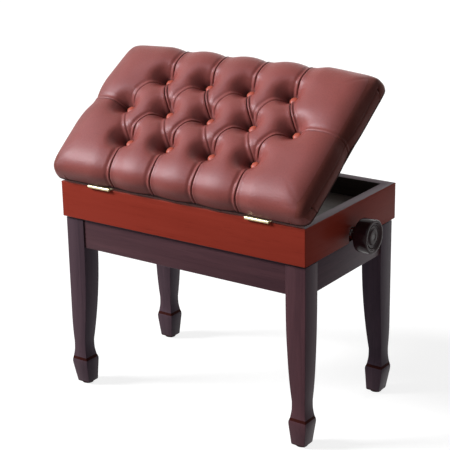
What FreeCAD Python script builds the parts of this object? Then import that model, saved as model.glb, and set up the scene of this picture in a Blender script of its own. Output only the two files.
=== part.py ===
import FreeCAD, Part
import math
import os

import Sketcher

# Adjustable piano bench with a storage box under a tufted lid.
# The seat box rises on two pairs of crossed arms that a lead screw drives.
# Millimetres, X along the bench, the hinged side of the lid at -Y, Z up from the floor.
# The origin lies on the floor, under the middle of the overall footprint with the lid open.

os.makedirs("parts", exist_ok=True)
doc = FreeCAD.newDocument("piano_bench")
vector = FreeCAD.Vector

# Driving dimensions
SIZES = {
    "middle_y": 11,
    "lid_open": 35,
    "lift_travel": 80,
    "run_fit": 0.05,
    "free_gap": 0.3,
    "box_length": 560,
    "box_depth": 330,
    "box_height": 72,
    "box_bottom": 361,
    "box_wall": 22,
    "box_edge_round": 2,
    "compartment_depth": 36,
    "floor_thickness": 6,
    "floor_groove": 6,
    "leg_width": 42,
    "leg_inset_x": 3.5,
    "leg_inset_y": 6,
    "leg_gap": 3,
    "leg_straight": 66,
    "outer_straight": 210,
    "neck_width": 28.5,
    "neck_inset": 1.5,
    "neck_height": 88,
    "neck_band": 4,
    "ankle_width": 36.4,
    "ankle_height": 50,
    "foot_width": 28.5,
    "glide_height": 3,
    "glide_diameter": 22,
    "apron_height": 61,
    "apron_thickness": 20,
    "apron_setback": 2.5,
    "seat_clearance": 0.5,
    "block_thickness": 12,
    "block_height": 42,
    "bolt_nut_width": 13,
    "bolt_nut_height": 8,
    "bolt_diameter": 8,
    "bolt_end": 14,
    "washer_diameter": 20,
    "washer_thickness": 1.6,
    "plate_thickness": 3,
    "plate_clearance": 1,
    "plate_tongue": 44,
    "plate_shoulder": 40,
    "plate_screw_diameter": 9,
    "plate_screw_head": 3,
    "plate_screw_edge": 12,
    "lift_clearance": 2.5,
    "rail_thickness": 3,
    "rail_height": 26,
    "rail_flange": 12,
    "upper_rail_length": 476,
    "lower_pivot_drop": 36,
    "upper_pivot_drop": 14,
    "pivot_margin": 35,
    "slide_margin": 34,
    "pivot_diameter": 10,
    "pivot_head_diameter": 16,
    "pivot_head": 2.5,
    "arm_width": 20,
    "arm_thickness": 4,
    "arm_gap": 1,
    "arm_play": 0.7,
    "rod_play": 2.2,
    "tie_distance": 100,
    "tie_diameter": 12,
    "roller_diameter": 14,
    "rod_diameter": 10,
    "screw_drop": 54,
    "screw_diameter": 12,
    "bush_diameter": 16,
    "bush_flange_diameter": 20,
    "bush_flange": 2,
    "collar_diameter": 20,
    "collar_length": 10,
    "nut_length": 30,
    "nut_width": 26,
    "nut_height": 21,
    "bracket_thickness": 3,
    "bracket_width": 24,
    "bracket_foot": 12,
    "notch_diameter": 22,
    "knob_gap": 5.5,
    "knob_diameter": 64,
    "knob_length": 41,
    "knob_hub_diameter": 28,
    "knob_hub_length": 11.5,
    "knob_back_round": 4,
    "knob_rim_bevel": 1.5,
    "knob_rim_width": 4,
    "knob_dish_depth": 4,
    "knob_dish_slope": 2.5,
    "knob_boss_diameter": 30,
    "knob_boss_height": 2.5,
    "knob_bore_depth": 26,
    "knob_screw_diameter": 5,
    "knob_screw_head_diameter": 10,
    "knob_screw_head": 3.5,
    "hinge_spacing": 363,
    "hinge_length": 50,
    "hinge_width": 18,
    "hinge_leaf": 1.2,
    "hinge_offset": 3.6,
    "hinge_gap": 1.5,
    "hinge_barrel_diameter": 6.4,
    "hinge_pin_diameter": 3.2,
    "hinge_knuckle_gap": 0.2,
    "hinge_pin_head": 0.8,
    "lid_overhang": 8,
    "lid_near_edge": 4,
    "lid_depth": 332,
    "lid_skirt": 8,
    "lid_board_thickness": 12,
    "lining_inset": 46,
    "lining_thickness": 0.8,
    "cushion_height": 63,
    "cushion_bulge": 4,
    "cushion_shoulder": 22,
    "cushion_corner": 24,
    "crown_inset": 66,
    "tuft_pitch": 95.5,
    "tuft_row_spacing": 80,
    "tuft_first_row": 90.5,
    "tuft_depth": 30,
    "tuft_radius": 45,
    "pleat_depth": 15,
    "pleat_half_width": 20,
    "button_diameter": 17,
    "button_dome_radius": 10.5,
    "stay_pivot": 130,
    "stay_drop": 10,
    "stay_end_room": 19.6,
    "stay_width": 14,
    "stay_thickness": 2.5,
    "stay_pin_diameter": 6,
    "stay_play": 0.5,
    "track_margin": 12,
    "track_width": 16,
    "bracket_plate_length": 40,
    "bracket_plate_width": 16,
    "bracket_plate": 2,
}

sheet = doc.addObject("Spreadsheet::Sheet", "sizes")
for row, (name, value) in enumerate(SIZES.items(), start=1):
    sheet.set(f"A{row}", name)
    sheet.set(f"B{row}", str(value))
    sheet.setAlias(f"B{row}", name)
doc.recompute()

SUBPARTS = []


def number(text):
    """The present value of an expression of the sheet."""
    value = sheet.evalExpression(text)
    return float(getattr(value, "Value", value))


def keep(part, label):
    """Name a finished sub-part and list it for writing."""
    part.Label = label
    SUBPARTS.append(part)
    return part


def place(part, x="0", y="0", z="0", axis=None, angle="0"):
    """Bind a placement: a point and, where an axis is given, a turn about it."""
    if axis is not None:
        part.Placement = FreeCAD.Placement(vector(), FreeCAD.Rotation(vector(*axis), 10))
        part.setExpression("Placement.Rotation.Angle", angle)
    part.setExpression("Placement.Base.x", x)
    part.setExpression("Placement.Base.y", y)
    part.setExpression("Placement.Base.z", z)
    return part


def block(name, length, width, height, x, y, z):
    """A rectangular block whose lowest corner lies at x, y, z."""
    part = doc.addObject("Part::Box", name)
    part.setExpression("Length", length)
    part.setExpression("Width", width)
    part.setExpression("Height", height)
    return place(part, x, y, z)


AXIS_TURN = {"X": ((0, 1, 0), "90"), "Y": ((-1, 0, 0), "90"), "Z": (None, "0")}


def rod(name, along, diameter, length, x, y, z):
    """A round bar from x, y, z along a positive axis."""
    part = doc.addObject("Part::Cylinder", name)
    part.setExpression("Radius", f"({diameter}) / 2")
    part.setExpression("Height", length)
    axis, angle = AXIS_TURN[along]
    return place(part, x, y, z, axis, angle)


def ring(name, along, outer, inner, length, x, y, z):
    """A round bar with a bore right through it."""
    solid = rod(name + "_outside", along, outer, length, x, y, z)
    bore = rod(name + "_bore", along, inner, length, x, y, z)
    return cut(name, solid, bore)


def cut(name, base, tool):
    part = doc.addObject("Part::Cut", name)
    part.Base = base
    part.Tool = tool
    return part


def fuse(name, shapes):
    part = doc.addObject("Part::MultiFuse", name)
    part.Shapes = shapes
    return part


def group(name, parts):
    """Several separate solids kept as one node."""
    compound = doc.addObject("Part::Compound", name)
    compound.Links = parts
    return compound


def new_body(name):
    return doc.addObject("PartDesign::Body", name)


def sketch_on(body, role, name):
    """A sketch on one of the body's own origin planes."""
    sketch = body.newObject("Sketcher::SketchObject", name)
    plane = next(item for item in body.Origin.OriginFeatures if item.Role == role)
    sketch.AttachmentSupport = [(plane, "")]
    sketch.MapMode = "FlatFace"
    return sketch


def pin_point(sketch, geometry, position, x, y):
    """Bind one point of a sketch to its two coordinates."""
    for kind, text in (("DistanceX", x), ("DistanceY", y)):
        index = sketch.addConstraint(Sketcher.Constraint(kind, -1, 1, geometry, position, number(text)))
        label = f"{kind}_{index}"
        sketch.renameConstraint(index, label)
        sketch.setExpression(f"Constraints.{label}", text)


def tangent_arc(start, end, direction):
    """The arc from start to end that leaves along direction, and whether it turns left."""
    left = vector(-direction.y, direction.x, 0)
    chord = end - start
    radius = chord.dot(chord) / (2 * left.dot(chord))
    centre = start + left * radius
    first = math.atan2(start.y - centre.y, start.x - centre.x)
    last = math.atan2(end.y - centre.y, end.x - centre.x)
    if radius < 0:
        first, last = last, first
    circle = Part.Circle(centre, vector(0, 0, 1), abs(radius))
    return Part.ArcOfCircle(circle, first, last), radius > 0


def outline(sketch, steps):
    """Close an outline through steps of (x, y), each reached by a line, or, with a third word,
    by an arc tangent to the line before it ("from") or to the line after it ("into")."""
    count = len(steps)
    points = [vector(number(step[0]), number(step[1]), 0) for step in steps]
    ends = []
    for index in range(count):
        start = points[index]
        end = points[(index + 1) % count]
        way = steps[(index + 1) % count][2:]
        if not way:
            geometry = sketch.addGeometry(Part.LineSegment(start, end), False)
            ends.append((geometry, 1, 2))
            continue
        if way[0] == "from":
            direction = (start - points[index - 1]).normalize()
            arc, turns_left = tangent_arc(start, end, direction)
        else:
            direction = (end - points[(index + 2) % count]).normalize()
            arc, turns_left = tangent_arc(end, start, direction)
            turns_left = not turns_left
        geometry = sketch.addGeometry(arc, False)
        ends.append((geometry, 1, 2) if turns_left else (geometry, 2, 1))
    for index in range(count):
        geometry, first, last = ends[index]
        after, after_first, _ = ends[(index + 1) % count]
        way_here = steps[(index + 1) % count][2:]
        way_after = steps[(index + 2) % count][2:]
        smooth = way_here == ("into",) or way_after == ("from",)
        kind = "Tangent" if smooth else "Coincident"
        sketch.addConstraint(Sketcher.Constraint(kind, geometry, last, after, after_first))
        pin_point(sketch, geometry, first, steps[index][0], steps[index][1])


def hole_circle(sketch, x, y, diameter):
    """A full circle bound to its centre and diameter."""
    centre = vector(number(x), number(y), 0)
    geometry = sketch.addGeometry(Part.Circle(centre, vector(0, 0, 1), number(diameter) / 2), False)
    pin_point(sketch, geometry, 3, x, y)
    index = sketch.addConstraint(Sketcher.Constraint("Diameter", geometry, number(diameter)))
    label = f"Diameter_{index}"
    sketch.renameConstraint(index, label)
    sketch.setExpression(f"Constraints.{label}", diameter)


def slot(sketch, x_low, x_high, y, height):
    """A level slot with round ends, given by the centres of its ends."""
    low = f"({x_low})"
    high = f"({x_high})"
    half = f"({height}) / 2"
    outline_round(sketch, low, high, y, half)


def outline_round(sketch, low, high, y, half):
    """A long outline with a half circle at each end."""
    ends = []
    for x, first, last in ((low, 0.5, 1.5), (high, 1.5, 2.5)):
        centre = vector(number(x), number(y), 0)
        circle = Part.Circle(centre, vector(0, 0, 1), number(half))
        arc = Part.ArcOfCircle(circle, first * math.pi, last * math.pi)
        geometry = sketch.addGeometry(arc, False)
        pin_point(sketch, geometry, 3, x, y)
        index = sketch.addConstraint(Sketcher.Constraint("Radius", geometry, number(half)))
        label = f"Radius_{index}"
        sketch.renameConstraint(index, label)
        sketch.setExpression(f"Constraints.{label}", half)
        ends.append(geometry)
    left, right = ends
    for start_arc, start, end_arc, end in ((left, 2, right, 1), (right, 2, left, 1)):
        first = sketch.getPoint(start_arc, start)
        last = sketch.getPoint(end_arc, end)
        line = sketch.addGeometry(Part.LineSegment(first, last), False)
        sketch.addConstraint(Sketcher.Constraint("Tangent", start_arc, start, line, 1))
        sketch.addConstraint(Sketcher.Constraint("Tangent", line, 2, end_arc, end))


def pad(body, sketch, length, name, reverse=False, middle=False):
    feature = body.newObject("PartDesign::Pad", name)
    feature.Profile = sketch
    feature.setExpression("Length", length)
    feature.Reversed = reverse
    if middle:
        feature.SideType = "Symmetric"
    body.Tip = feature
    return feature


def pocket(body, sketch, name):
    """Cut a sketch right through the body, both ways."""
    feature = body.newObject("PartDesign::Pocket", name)
    feature.Profile = sketch
    feature.Type = "ThroughAll"
    feature.SideType = "Symmetric"
    body.Tip = feature
    return feature


# Places that several pieces share
MID = "sizes.middle_y"
BOX_TOP = "(sizes.box_bottom + sizes.box_height)"
BOX_X = "(sizes.box_length / 2)"
BOX_Y = "(sizes.box_depth / 2)"
FLOOR_TOP = f"({BOX_TOP} - sizes.compartment_depth)"
FLOOR_UNDER = f"({FLOOR_TOP} - sizes.floor_thickness)"
LEG_X = f"({BOX_X} - sizes.leg_inset_x)"
LEG_Y = f"({BOX_Y} - sizes.leg_inset_y)"
LEG_TOP = "(sizes.box_bottom - sizes.leg_gap)"
APRON_TOP = "(sizes.box_bottom - sizes.seat_clearance)"
APRON_FOOT = f"({APRON_TOP} - sizes.apron_height)"
APRON_DEPTH = "(sizes.apron_setback + sizes.apron_thickness)"
PLATE_X = f"({LEG_X} - {APRON_DEPTH})"
PLATE_IN = f"({PLATE_X} - sizes.plate_thickness)"
SCREW_Z = f"({BOX_TOP} - sizes.screw_drop)"
LOW_Z = "(sizes.box_bottom - sizes.lower_pivot_drop)"
HIGH_Z = f"({FLOOR_UNDER} - sizes.upper_pivot_drop)"
ARM_RISE = f"({HIGH_Z} - {LOW_Z})"
PIVOT_X = f"({PLATE_IN} - sizes.pivot_margin)"
SLIDE_X = f"(sizes.slide_margin - {PLATE_IN})"
ARM_REACH = f"({PIVOT_X} - {SLIDE_X})"
ARM_LENGTH = f"sqrt({ARM_REACH} ^ 2 + {ARM_RISE} ^ 2)"
ARM_ANGLE = f"atan({ARM_RISE} / {ARM_REACH})"
RAISED_REACH = f"sqrt({ARM_LENGTH} ^ 2 - ({ARM_RISE} + sizes.lift_travel) ^ 2)"
SLIDE_RAISED_X = f"({PIVOT_X} - {RAISED_REACH})"
BLOCK_NEAR = f"(2 * sizes.leg_width - {APRON_DEPTH})"
BLOCK_WIDE = f"({BLOCK_NEAR} + sizes.block_thickness * sqrt(2))"
PLATE_HALF = f"({LEG_Y} - {BLOCK_WIDE} - sizes.lift_clearance)"
RAIL_Y = f"({PLATE_HALF} - sizes.rail_flange)"
RAIL_OUT = f"({RAIL_Y} + sizes.rail_thickness)"
ARM_A_OUT = f"({RAIL_Y} - sizes.arm_gap)"
ARM_A_IN = f"({ARM_A_OUT} - sizes.arm_thickness)"
ARM_B_OUT = f"({ARM_A_IN} - sizes.arm_gap)"
ARM_B_IN = f"({ARM_B_OUT} - sizes.arm_thickness)"
HINGE_Y = f"({MID} - {BOX_Y} - sizes.hinge_offset)"
HINGE_Z = f"({BOX_TOP} + sizes.hinge_gap)"
LID_UNDER = "sizes.hinge_gap"
SIDES = {"near": -1, "far": 1}
ENDS = {"left": -1, "right": 1}


def on_lid(part):
    """Place a part drawn in the lid's own frame, whose origin lies on the hinge axis."""
    return place(part, "0", HINGE_Y, HINGE_Z, (1, 0, 0), "sizes.lid_open")


# Legs: outer faces almost upright, inner faces drawn in to a neck, a flared ankle and a spade foot
def leg_outline(sketch, steps_outside):
    foot_in = "(sizes.ankle_width - sizes.foot_width) / 2"
    neck_in = "sizes.neck_inset + sizes.neck_width"
    neck_top = "sizes.neck_height + sizes.neck_band"
    steps = [
        ("0", LEG_TOP),
        ("0", f"{LEG_TOP} - sizes.outer_straight"),
        ("sizes.neck_inset", neck_top, "from"),
        ("sizes.neck_inset", "sizes.neck_height"),
        ("0", "sizes.ankle_height", "from"),
        (foot_in, "sizes.glide_height"),
        (f"{foot_in} + sizes.foot_width", "sizes.glide_height"),
        ("sizes.ankle_width", "sizes.ankle_height"),
        (neck_in, "sizes.neck_height", "into"),
        (neck_in, neck_top),
        ("sizes.leg_width", f"{LEG_TOP} - sizes.leg_straight", "into"),
        ("sizes.leg_width", LEG_TOP),
    ]
    outline(sketch, steps)
    if steps_outside:
        outline(sketch, steps_outside)


def leg(name, x, y, quarter_turns):
    body = new_body(name)
    side = sketch_on(body, "XZ_Plane", name + "_side")
    leg_outline(side, None)
    pad(body, side, "sizes.leg_width", name + "_blank", reverse=True)
    front = sketch_on(body, "YZ_Plane", name + "_front")
    leg_outline(front, [
        ("-sizes.leg_width", "-sizes.leg_width"),
        ("2 * sizes.leg_width", "-sizes.leg_width"),
        ("2 * sizes.leg_width", f"{LEG_TOP} + sizes.leg_width"),
        ("-sizes.leg_width", f"{LEG_TOP} + sizes.leg_width"),
    ])
    pocket(body, front, name + "_shape")
    place(body, x, y, "0", (0, 0, 1), str(90 * quarter_turns))
    return keep(body, name)


leg("leg_near_left", f"-{LEG_X}", f"{MID} - {LEG_Y}", 0)
leg("leg_near_right", LEG_X, f"{MID} - {LEG_Y}", 1)
leg("leg_far_right", LEG_X, f"{MID} + {LEG_Y}", 2)
leg("leg_far_left", f"-{LEG_X}", f"{MID} + {LEG_Y}", 3)

FOOT_X = f"({LEG_X} - sizes.ankle_width / 2)"
FOOT_Y = f"({LEG_Y} - sizes.ankle_width / 2)"
keep(group("foot_glides", [
    rod(f"glide_{side}_{end}", "Z", "sizes.glide_diameter", "sizes.glide_height",
        f"{end_sign} * {FOOT_X}", f"{MID} + {side_sign} * {FOOT_Y}", "0")
    for side, side_sign in SIDES.items() for end, end_sign in ENDS.items()
]), "foot_glides")

# Aprons between the legs
LONG_APRON = f"(2 * ({LEG_X} - sizes.leg_width))"
SHORT_APRON = f"(2 * ({LEG_Y} - sizes.leg_width))"
for side, sign in SIDES.items():
    apron_y = f"({LEG_Y} - {APRON_DEPTH} / 2 - sizes.apron_setback / 2)"
    start = f"{MID} + {sign} * {apron_y} - sizes.apron_thickness / 2"
    keep(block(f"apron_{side}", LONG_APRON, "sizes.apron_thickness", "sizes.apron_height",
               f"-{LONG_APRON} / 2", start, APRON_FOOT), f"apron_{side}")
for end, sign in ENDS.items():
    start = f"{sign} * ({LEG_X} - {APRON_DEPTH} / 2 - sizes.apron_setback / 2) - sizes.apron_thickness / 2"
    keep(block(f"apron_{end}", "sizes.apron_thickness", SHORT_APRON, "sizes.apron_height",
               start, f"{MID} - {SHORT_APRON} / 2", APRON_FOOT), f"apron_{end}")


# Corner blocks across the inside of each corner, with a leg bolt's washer and nut on each
BLOCK_FOOT = f"({APRON_TOP} - sizes.apron_height / 2 - sizes.block_height / 2)"
BOLT_Z = f"({APRON_TOP} - sizes.apron_height / 2)"
BOLT_AT = "(sizes.leg_width + sizes.block_thickness / sqrt(2))"


def corner_block(name, x, y, quarter_turns):
    body = new_body(name)
    plan = sketch_on(body, "XY_Plane", name + "_plan")
    outline(plan, [
        (BLOCK_NEAR, APRON_DEPTH),
        (BLOCK_WIDE, APRON_DEPTH),
        (APRON_DEPTH, BLOCK_WIDE),
        (APRON_DEPTH, BLOCK_NEAR),
    ])
    pad(body, plan, "sizes.block_height", name + "_pad")
    return place(body, x, y, BLOCK_FOOT, (0, 0, 1), str(90 * quarter_turns))


def leg_bolt(name, x_sign, y_sign):
    """A washer, a nut and the bolt's end, along the corner's diagonal."""
    nut = doc.addObject("Part::Prism", name + "_nut")
    nut.Polygon = 6
    nut.setExpression("Circumradius", "sizes.bolt_nut_width / sqrt(3)")
    nut.setExpression("Height", "sizes.bolt_nut_height")
    place(nut, z="sizes.washer_thickness")
    washer = rod(name + "_washer", "Z", "sizes.washer_diameter", "sizes.washer_thickness", "0", "0", "0")
    stud = rod(name + "_stud", "Z", "sizes.bolt_diameter", "sizes.bolt_end", "0", "0", "0")
    bolt = fuse(name, [nut, washer, stud])
    x = f"{x_sign} * ({LEG_X} - {BOLT_AT})"
    y = f"{MID} + {y_sign} * ({LEG_Y} - {BOLT_AT})"
    return place(bolt, x, y, BOLT_Z, (y_sign, -x_sign, 0), "90")


CORNERS = [
    ("near_left", -1, -1, 0),
    ("near_right", 1, -1, 1),
    ("far_right", 1, 1, 2),
    ("far_left", -1, 1, 3),
]
keep(group("corner_blocks", [
    corner_block(f"block_{where}", f"{x} * {LEG_X}", f"{MID} + {y} * {LEG_Y}", turns)
    for where, x, y, turns in CORNERS
]), "corner_blocks")
keep(group("leg_bolts", [leg_bolt(f"bolt_{where}", x, y) for where, x, y, turns in CORNERS]), "leg_bolts")

# Lift frame: an end plate on each side apron, with a tongue that carries the screw's bush
PLATE_FOOT = f"({LOW_Z} - sizes.rail_height / 2)"
PLATE_TOP = f"({FLOOR_UNDER} - sizes.plate_clearance)"


def end_plate(name, sign):
    body = new_body(name)
    face = sketch_on(body, "YZ_Plane", name + "_face")
    shoulder = f"{PLATE_FOOT} + sizes.plate_shoulder"
    tongue = "sizes.plate_tongue / 2"
    outline(face, [
        (f"-{PLATE_HALF}", PLATE_FOOT),
        (PLATE_HALF, PLATE_FOOT),
        (PLATE_HALF, shoulder),
        (f"{tongue} + sizes.plate_tongue / 2", shoulder),
        (tongue, f"{shoulder} + sizes.plate_tongue / 2", "from"),
        (tongue, PLATE_TOP),
        (f"-{tongue}", PLATE_TOP),
        (f"-{tongue}", f"{shoulder} + sizes.plate_tongue / 2"),
        (f"-({tongue} + sizes.plate_tongue / 2)", shoulder, "into"),
        (f"-{PLATE_HALF}", shoulder),
    ])
    hole_circle(face, "0", SCREW_Z, "sizes.bush_diameter")
    pad(body, face, "sizes.plate_thickness", name + "_pad", reverse=sign > 0)
    place(body, f"{sign} * {PLATE_X}", MID)
    return keep(body, name)


for end, sign in ENDS.items():
    end_plate(f"lift_end_plate_{end}", sign)


def plate_screw(name, sign, y_sign, z):
    start = PLATE_IN if sign < 0 else f"({PLATE_IN} - sizes.plate_screw_head)"
    x = f"-{PLATE_IN}" if sign < 0 else start
    y = f"{MID} + {y_sign} * ({RAIL_Y} - sizes.arm_width - sizes.plate_screw_edge)"
    return rod(name, "X", "sizes.plate_screw_diameter", "sizes.plate_screw_head", x, y, z)


keep(group("plate_screws", [
    plate_screw(f"plate_screw_{end}_{side}_{level}", sign, y_sign, z)
    for end, sign in ENDS.items() for side, y_sign in SIDES.items()
    for level, z in (("low", f"{PLATE_FOOT} + sizes.plate_screw_edge"),
                     ("high", f"{PLATE_FOOT} + sizes.plate_shoulder - sizes.plate_screw_edge"))
]), "plate_screws")


# Flanged bushes in the end plates
def screw_bush(name, sign):
    bore = "sizes.screw_diameter + 2 * sizes.run_fit"
    sleeve_x = PLATE_IN if sign > 0 else f"-{PLATE_X}"
    flange_x = f"{PLATE_IN} - sizes.bush_flange" if sign > 0 else f"-{PLATE_IN}"
    sleeve = rod(name + "_sleeve", "X", "sizes.bush_diameter", "sizes.plate_thickness",
                 sleeve_x, MID, SCREW_Z)
    flange = rod(name + "_flange", "X", "sizes.bush_flange_diameter", "sizes.bush_flange",
                 flange_x, MID, SCREW_Z)
    hole = rod(name + "_hole", "X", bore, f"2 * {PLATE_X}", f"-{PLATE_X}", MID, SCREW_Z)
    return cut(name, fuse(name + "_body", [sleeve, flange]), hole)


keep(group("screw_bushes", [screw_bush(f"bush_{end}", sign) for end, sign in ENDS.items()]), "screw_bushes")


# Rails: angle bars, the lower pair between the end plates, the upper pair under the box floor
def rail(name, sign, foot, flange_at_top, length, slot_low, slot_high, slot_height, pivot_z):
    body = new_body(name)
    section = sketch_on(body, "YZ_Plane", name + "_section")
    top = f"{foot} + sizes.rail_height"
    inner = f"{sign} * {RAIL_Y}"
    outer = f"{sign} * {RAIL_OUT}"
    edge = f"{sign} * {PLATE_HALF}"
    steps = [(inner, foot), (edge, foot), (edge, f"{foot} + sizes.rail_thickness"),
             (outer, f"{foot} + sizes.rail_thickness"), (outer, top), (inner, top)]
    if flange_at_top:
        steps = [(inner, top), (edge, top), (edge, f"{top} - sizes.rail_thickness"),
                 (outer, f"{top} - sizes.rail_thickness"), (outer, foot), (inner, foot)]
    outline(section, steps)
    pad(body, section, length, name + "_pad", middle=True)
    holes = sketch_on(body, "XZ_Plane", name + "_holes")
    slot(holes, slot_low, slot_high, pivot_z, slot_height)
    hole_circle(holes, PIVOT_X, pivot_z, "sizes.pivot_diameter")
    pocket(body, holes, name + "_cut")
    place(body, "0", MID, "0")
    return keep(body, name)


ROLLER_SLOT = "sizes.roller_diameter + 2 * sizes.free_gap"
for side, sign in SIDES.items():
    rail(f"lower_rail_{side}", sign, PLATE_FOOT, False, f"2 * {PLATE_IN}",
         SLIDE_X, SLIDE_RAISED_X, ROLLER_SLOT, LOW_Z)
    rail(f"upper_rail_{side}", sign, f"({FLOOR_UNDER} - sizes.rail_height)", True,
         "sizes.upper_rail_length", SLIDE_X, SLIDE_RAISED_X, f"{ROLLER_SLOT} + 2 * sizes.arm_play", HIGH_Z)


# Pivots: headed pins through the rails and the arms
def span(sign, outer, inner):
    """The lower end and the length of a stretch of Y between two distances from the middle."""
    start = f"{MID} + {inner}" if sign > 0 else f"{MID} - {outer}"
    return start, f"{outer} - {inner}"


def pivot_pin(name, sign, x, z, inner):
    start, length = span(sign, RAIL_OUT, inner)
    head_start, head_length = span(sign, f"({RAIL_OUT} + sizes.pivot_head)", RAIL_OUT)
    pin = rod(name + "_pin", "Y", "sizes.pivot_diameter", length, x, start, z)
    head = rod(name + "_head", "Y", "sizes.pivot_head_diameter", head_length, x, head_start, z)
    return fuse(name, [pin, head])


keep(group("lower_pivots", [
    pivot_pin(f"lower_pivot_{side}", sign, PIVOT_X, LOW_Z, f"({ARM_A_IN} - sizes.arm_gap / 2)")
    for side, sign in SIDES.items()
]), "lower_pivots")
keep(group("upper_pivots", [
    pivot_pin(f"upper_pivot_{side}", sign, PIVOT_X, HIGH_Z, f"({ARM_B_IN} - sizes.arm_gap / 2)")
    for side, sign in SIDES.items()
]), "upper_pivots")

# Crossed arms: pair A turns on the lower rails, pair B on the middle of pair A
PIVOT_HOLE = "sizes.pivot_diameter + 2 * sizes.run_fit"


def arm(name, sign, outer, inner, z, turn, holes, end_slot=None):
    body = new_body(name)
    face = sketch_on(body, "XZ_Plane", name + "_face")
    outline_round(face, f"-{ARM_LENGTH}", "0", "0", "sizes.arm_width / 2")
    for x, diameter in holes:
        hole_circle(face, x, "0", diameter)
    if end_slot:
        slot(face, f"-{ARM_LENGTH}", f"-{ARM_LENGTH} + sizes.rod_play", "0", end_slot)
    pad(body, face, "sizes.arm_thickness", name + "_pad")
    y = f"{MID} + {outer}" if sign > 0 else f"{MID} - {inner}"
    place(body, PIVOT_X, y, z, (0, turn, 0), ARM_ANGLE)
    return keep(body, name)


HALF_ARM = f"-{ARM_LENGTH} / 2"
for side, sign in SIDES.items():
    arm(f"arm_a_{side}", sign, ARM_A_OUT, ARM_A_IN, LOW_Z, 1,
        [("0", PIVOT_HOLE), (HALF_ARM, "sizes.pivot_diameter")])
    arm(f"arm_b_{side}", sign, ARM_B_OUT, ARM_B_IN, HIGH_Z, -1,
        [("0", f"{PIVOT_HOLE} + 2 * sizes.arm_play"), (HALF_ARM, PIVOT_HOLE)],
        "sizes.rod_diameter + 2 * sizes.free_gap + 2 * sizes.arm_play")

CENTRE_X = f"({PIVOT_X} - {ARM_REACH} / 2)"
CENTRE_Z = f"(({LOW_Z} + {HIGH_Z}) / 2)"
keep(group("centre_pivots", [
    rod(f"centre_pivot_{side}", "Y", "sizes.pivot_diameter",
        f"{ARM_A_OUT} - {ARM_B_IN} + sizes.arm_gap / 2", CENTRE_X,
        f"{MID} + {ARM_B_IN} - sizes.arm_gap / 2" if sign > 0 else f"{MID} - {ARM_A_OUT}", CENTRE_Z)
    for side, sign in SIDES.items()
]), "centre_pivots")

TIE_A_X = f"({PIVOT_X} - sizes.tie_distance * cos({ARM_ANGLE}))"
TIE_A_Z = f"({LOW_Z} + sizes.tie_distance * sin({ARM_ANGLE}))"
TIE_B_X = f"({SLIDE_X} + sizes.tie_distance * cos({ARM_ANGLE}))"
keep(rod("arm_a_tie", "Y", "sizes.tie_diameter", f"2 * {ARM_A_IN}",
         TIE_A_X, f"{MID} - {ARM_A_IN}", TIE_A_Z), "arm_a_tie")
keep(rod("arm_b_tie", "Y", "sizes.tie_diameter", f"2 * {ARM_B_IN}",
         TIE_B_X, f"{MID} - {ARM_B_IN}", TIE_A_Z), "arm_b_tie")


def upper_roller(name, sign):
    """A roller on a short stud at the sliding end of an A arm."""
    stud_start, stud_length = span(sign, RAIL_Y, ARM_A_OUT)
    roll_start, roll_length = span(sign, RAIL_OUT, RAIL_Y)
    stud = rod(name + "_stud", "Y", "sizes.pivot_diameter", stud_length, SLIDE_X, stud_start, HIGH_Z)
    roll = rod(name + "_roll", "Y", "sizes.roller_diameter", roll_length, SLIDE_X, roll_start, HIGH_Z)
    return fuse(name, [stud, roll])


keep(group("upper_rollers", [upper_roller(f"upper_roller_{side}", sign) for side, sign in SIDES.items()]),
     "upper_rollers")

# Nut carriage: a nut on the screw, a bracket down to the slide rod, and rollers in the lower rails
keep(cut("drive_nut",
         block("nut_blank", "sizes.nut_length", "sizes.nut_width", "sizes.nut_height",
               f"{SLIDE_X} - sizes.nut_length / 2", f"{MID} - sizes.nut_width / 2",
               f"{SCREW_Z} - sizes.nut_height / 2"),
         rod("nut_bore", "X", "sizes.screw_diameter + 2 * sizes.run_fit", "sizes.nut_length",
             f"{SLIDE_X} - sizes.nut_length / 2", MID, SCREW_Z)), "drive_nut")


def nut_bracket(name):
    body = new_body(name)
    section = sketch_on(body, "YZ_Plane", name + "_section")
    inner = "sizes.nut_width / 2"
    outer = f"({inner} + sizes.bracket_thickness)"
    foot = f"{LOW_Z} - sizes.bracket_foot"
    top = f"{SCREW_Z} + sizes.nut_height / 2 - sizes.bracket_thickness"
    outline(section, [
        (f"-{outer}", foot), (outer, foot), (outer, top), (inner, top),
        (inner, f"{foot} + sizes.bracket_thickness"), (f"-{inner}", f"{foot} + sizes.bracket_thickness"),
        (f"-{inner}", top), (f"-{outer}", top),
    ])
    pad(body, section, "sizes.bracket_width", name + "_pad", middle=True)
    holes = sketch_on(body, "XZ_Plane", name + "_holes")
    hole_circle(holes, "0", LOW_Z, "sizes.rod_diameter")
    pocket(body, holes, name + "_cut")
    place(body, SLIDE_X, MID, "0")
    return keep(body, name)


nut_bracket("nut_bracket")
ROD_HALF = f"({RAIL_OUT} + sizes.pivot_head)"
keep(rod("slide_rod", "Y", "sizes.rod_diameter", f"2 * {ROD_HALF}", SLIDE_X, f"{MID} - {ROD_HALF}", LOW_Z),
     "slide_rod")
keep(group("rod_rollers", [
    ring(f"rod_roller_{side}", "Y", "sizes.roller_diameter", "sizes.rod_diameter", "sizes.rail_thickness",
         SLIDE_X, span(sign, RAIL_OUT, RAIL_Y)[0], LOW_Z)
    for side, sign in SIDES.items()
]), "rod_rollers")

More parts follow.
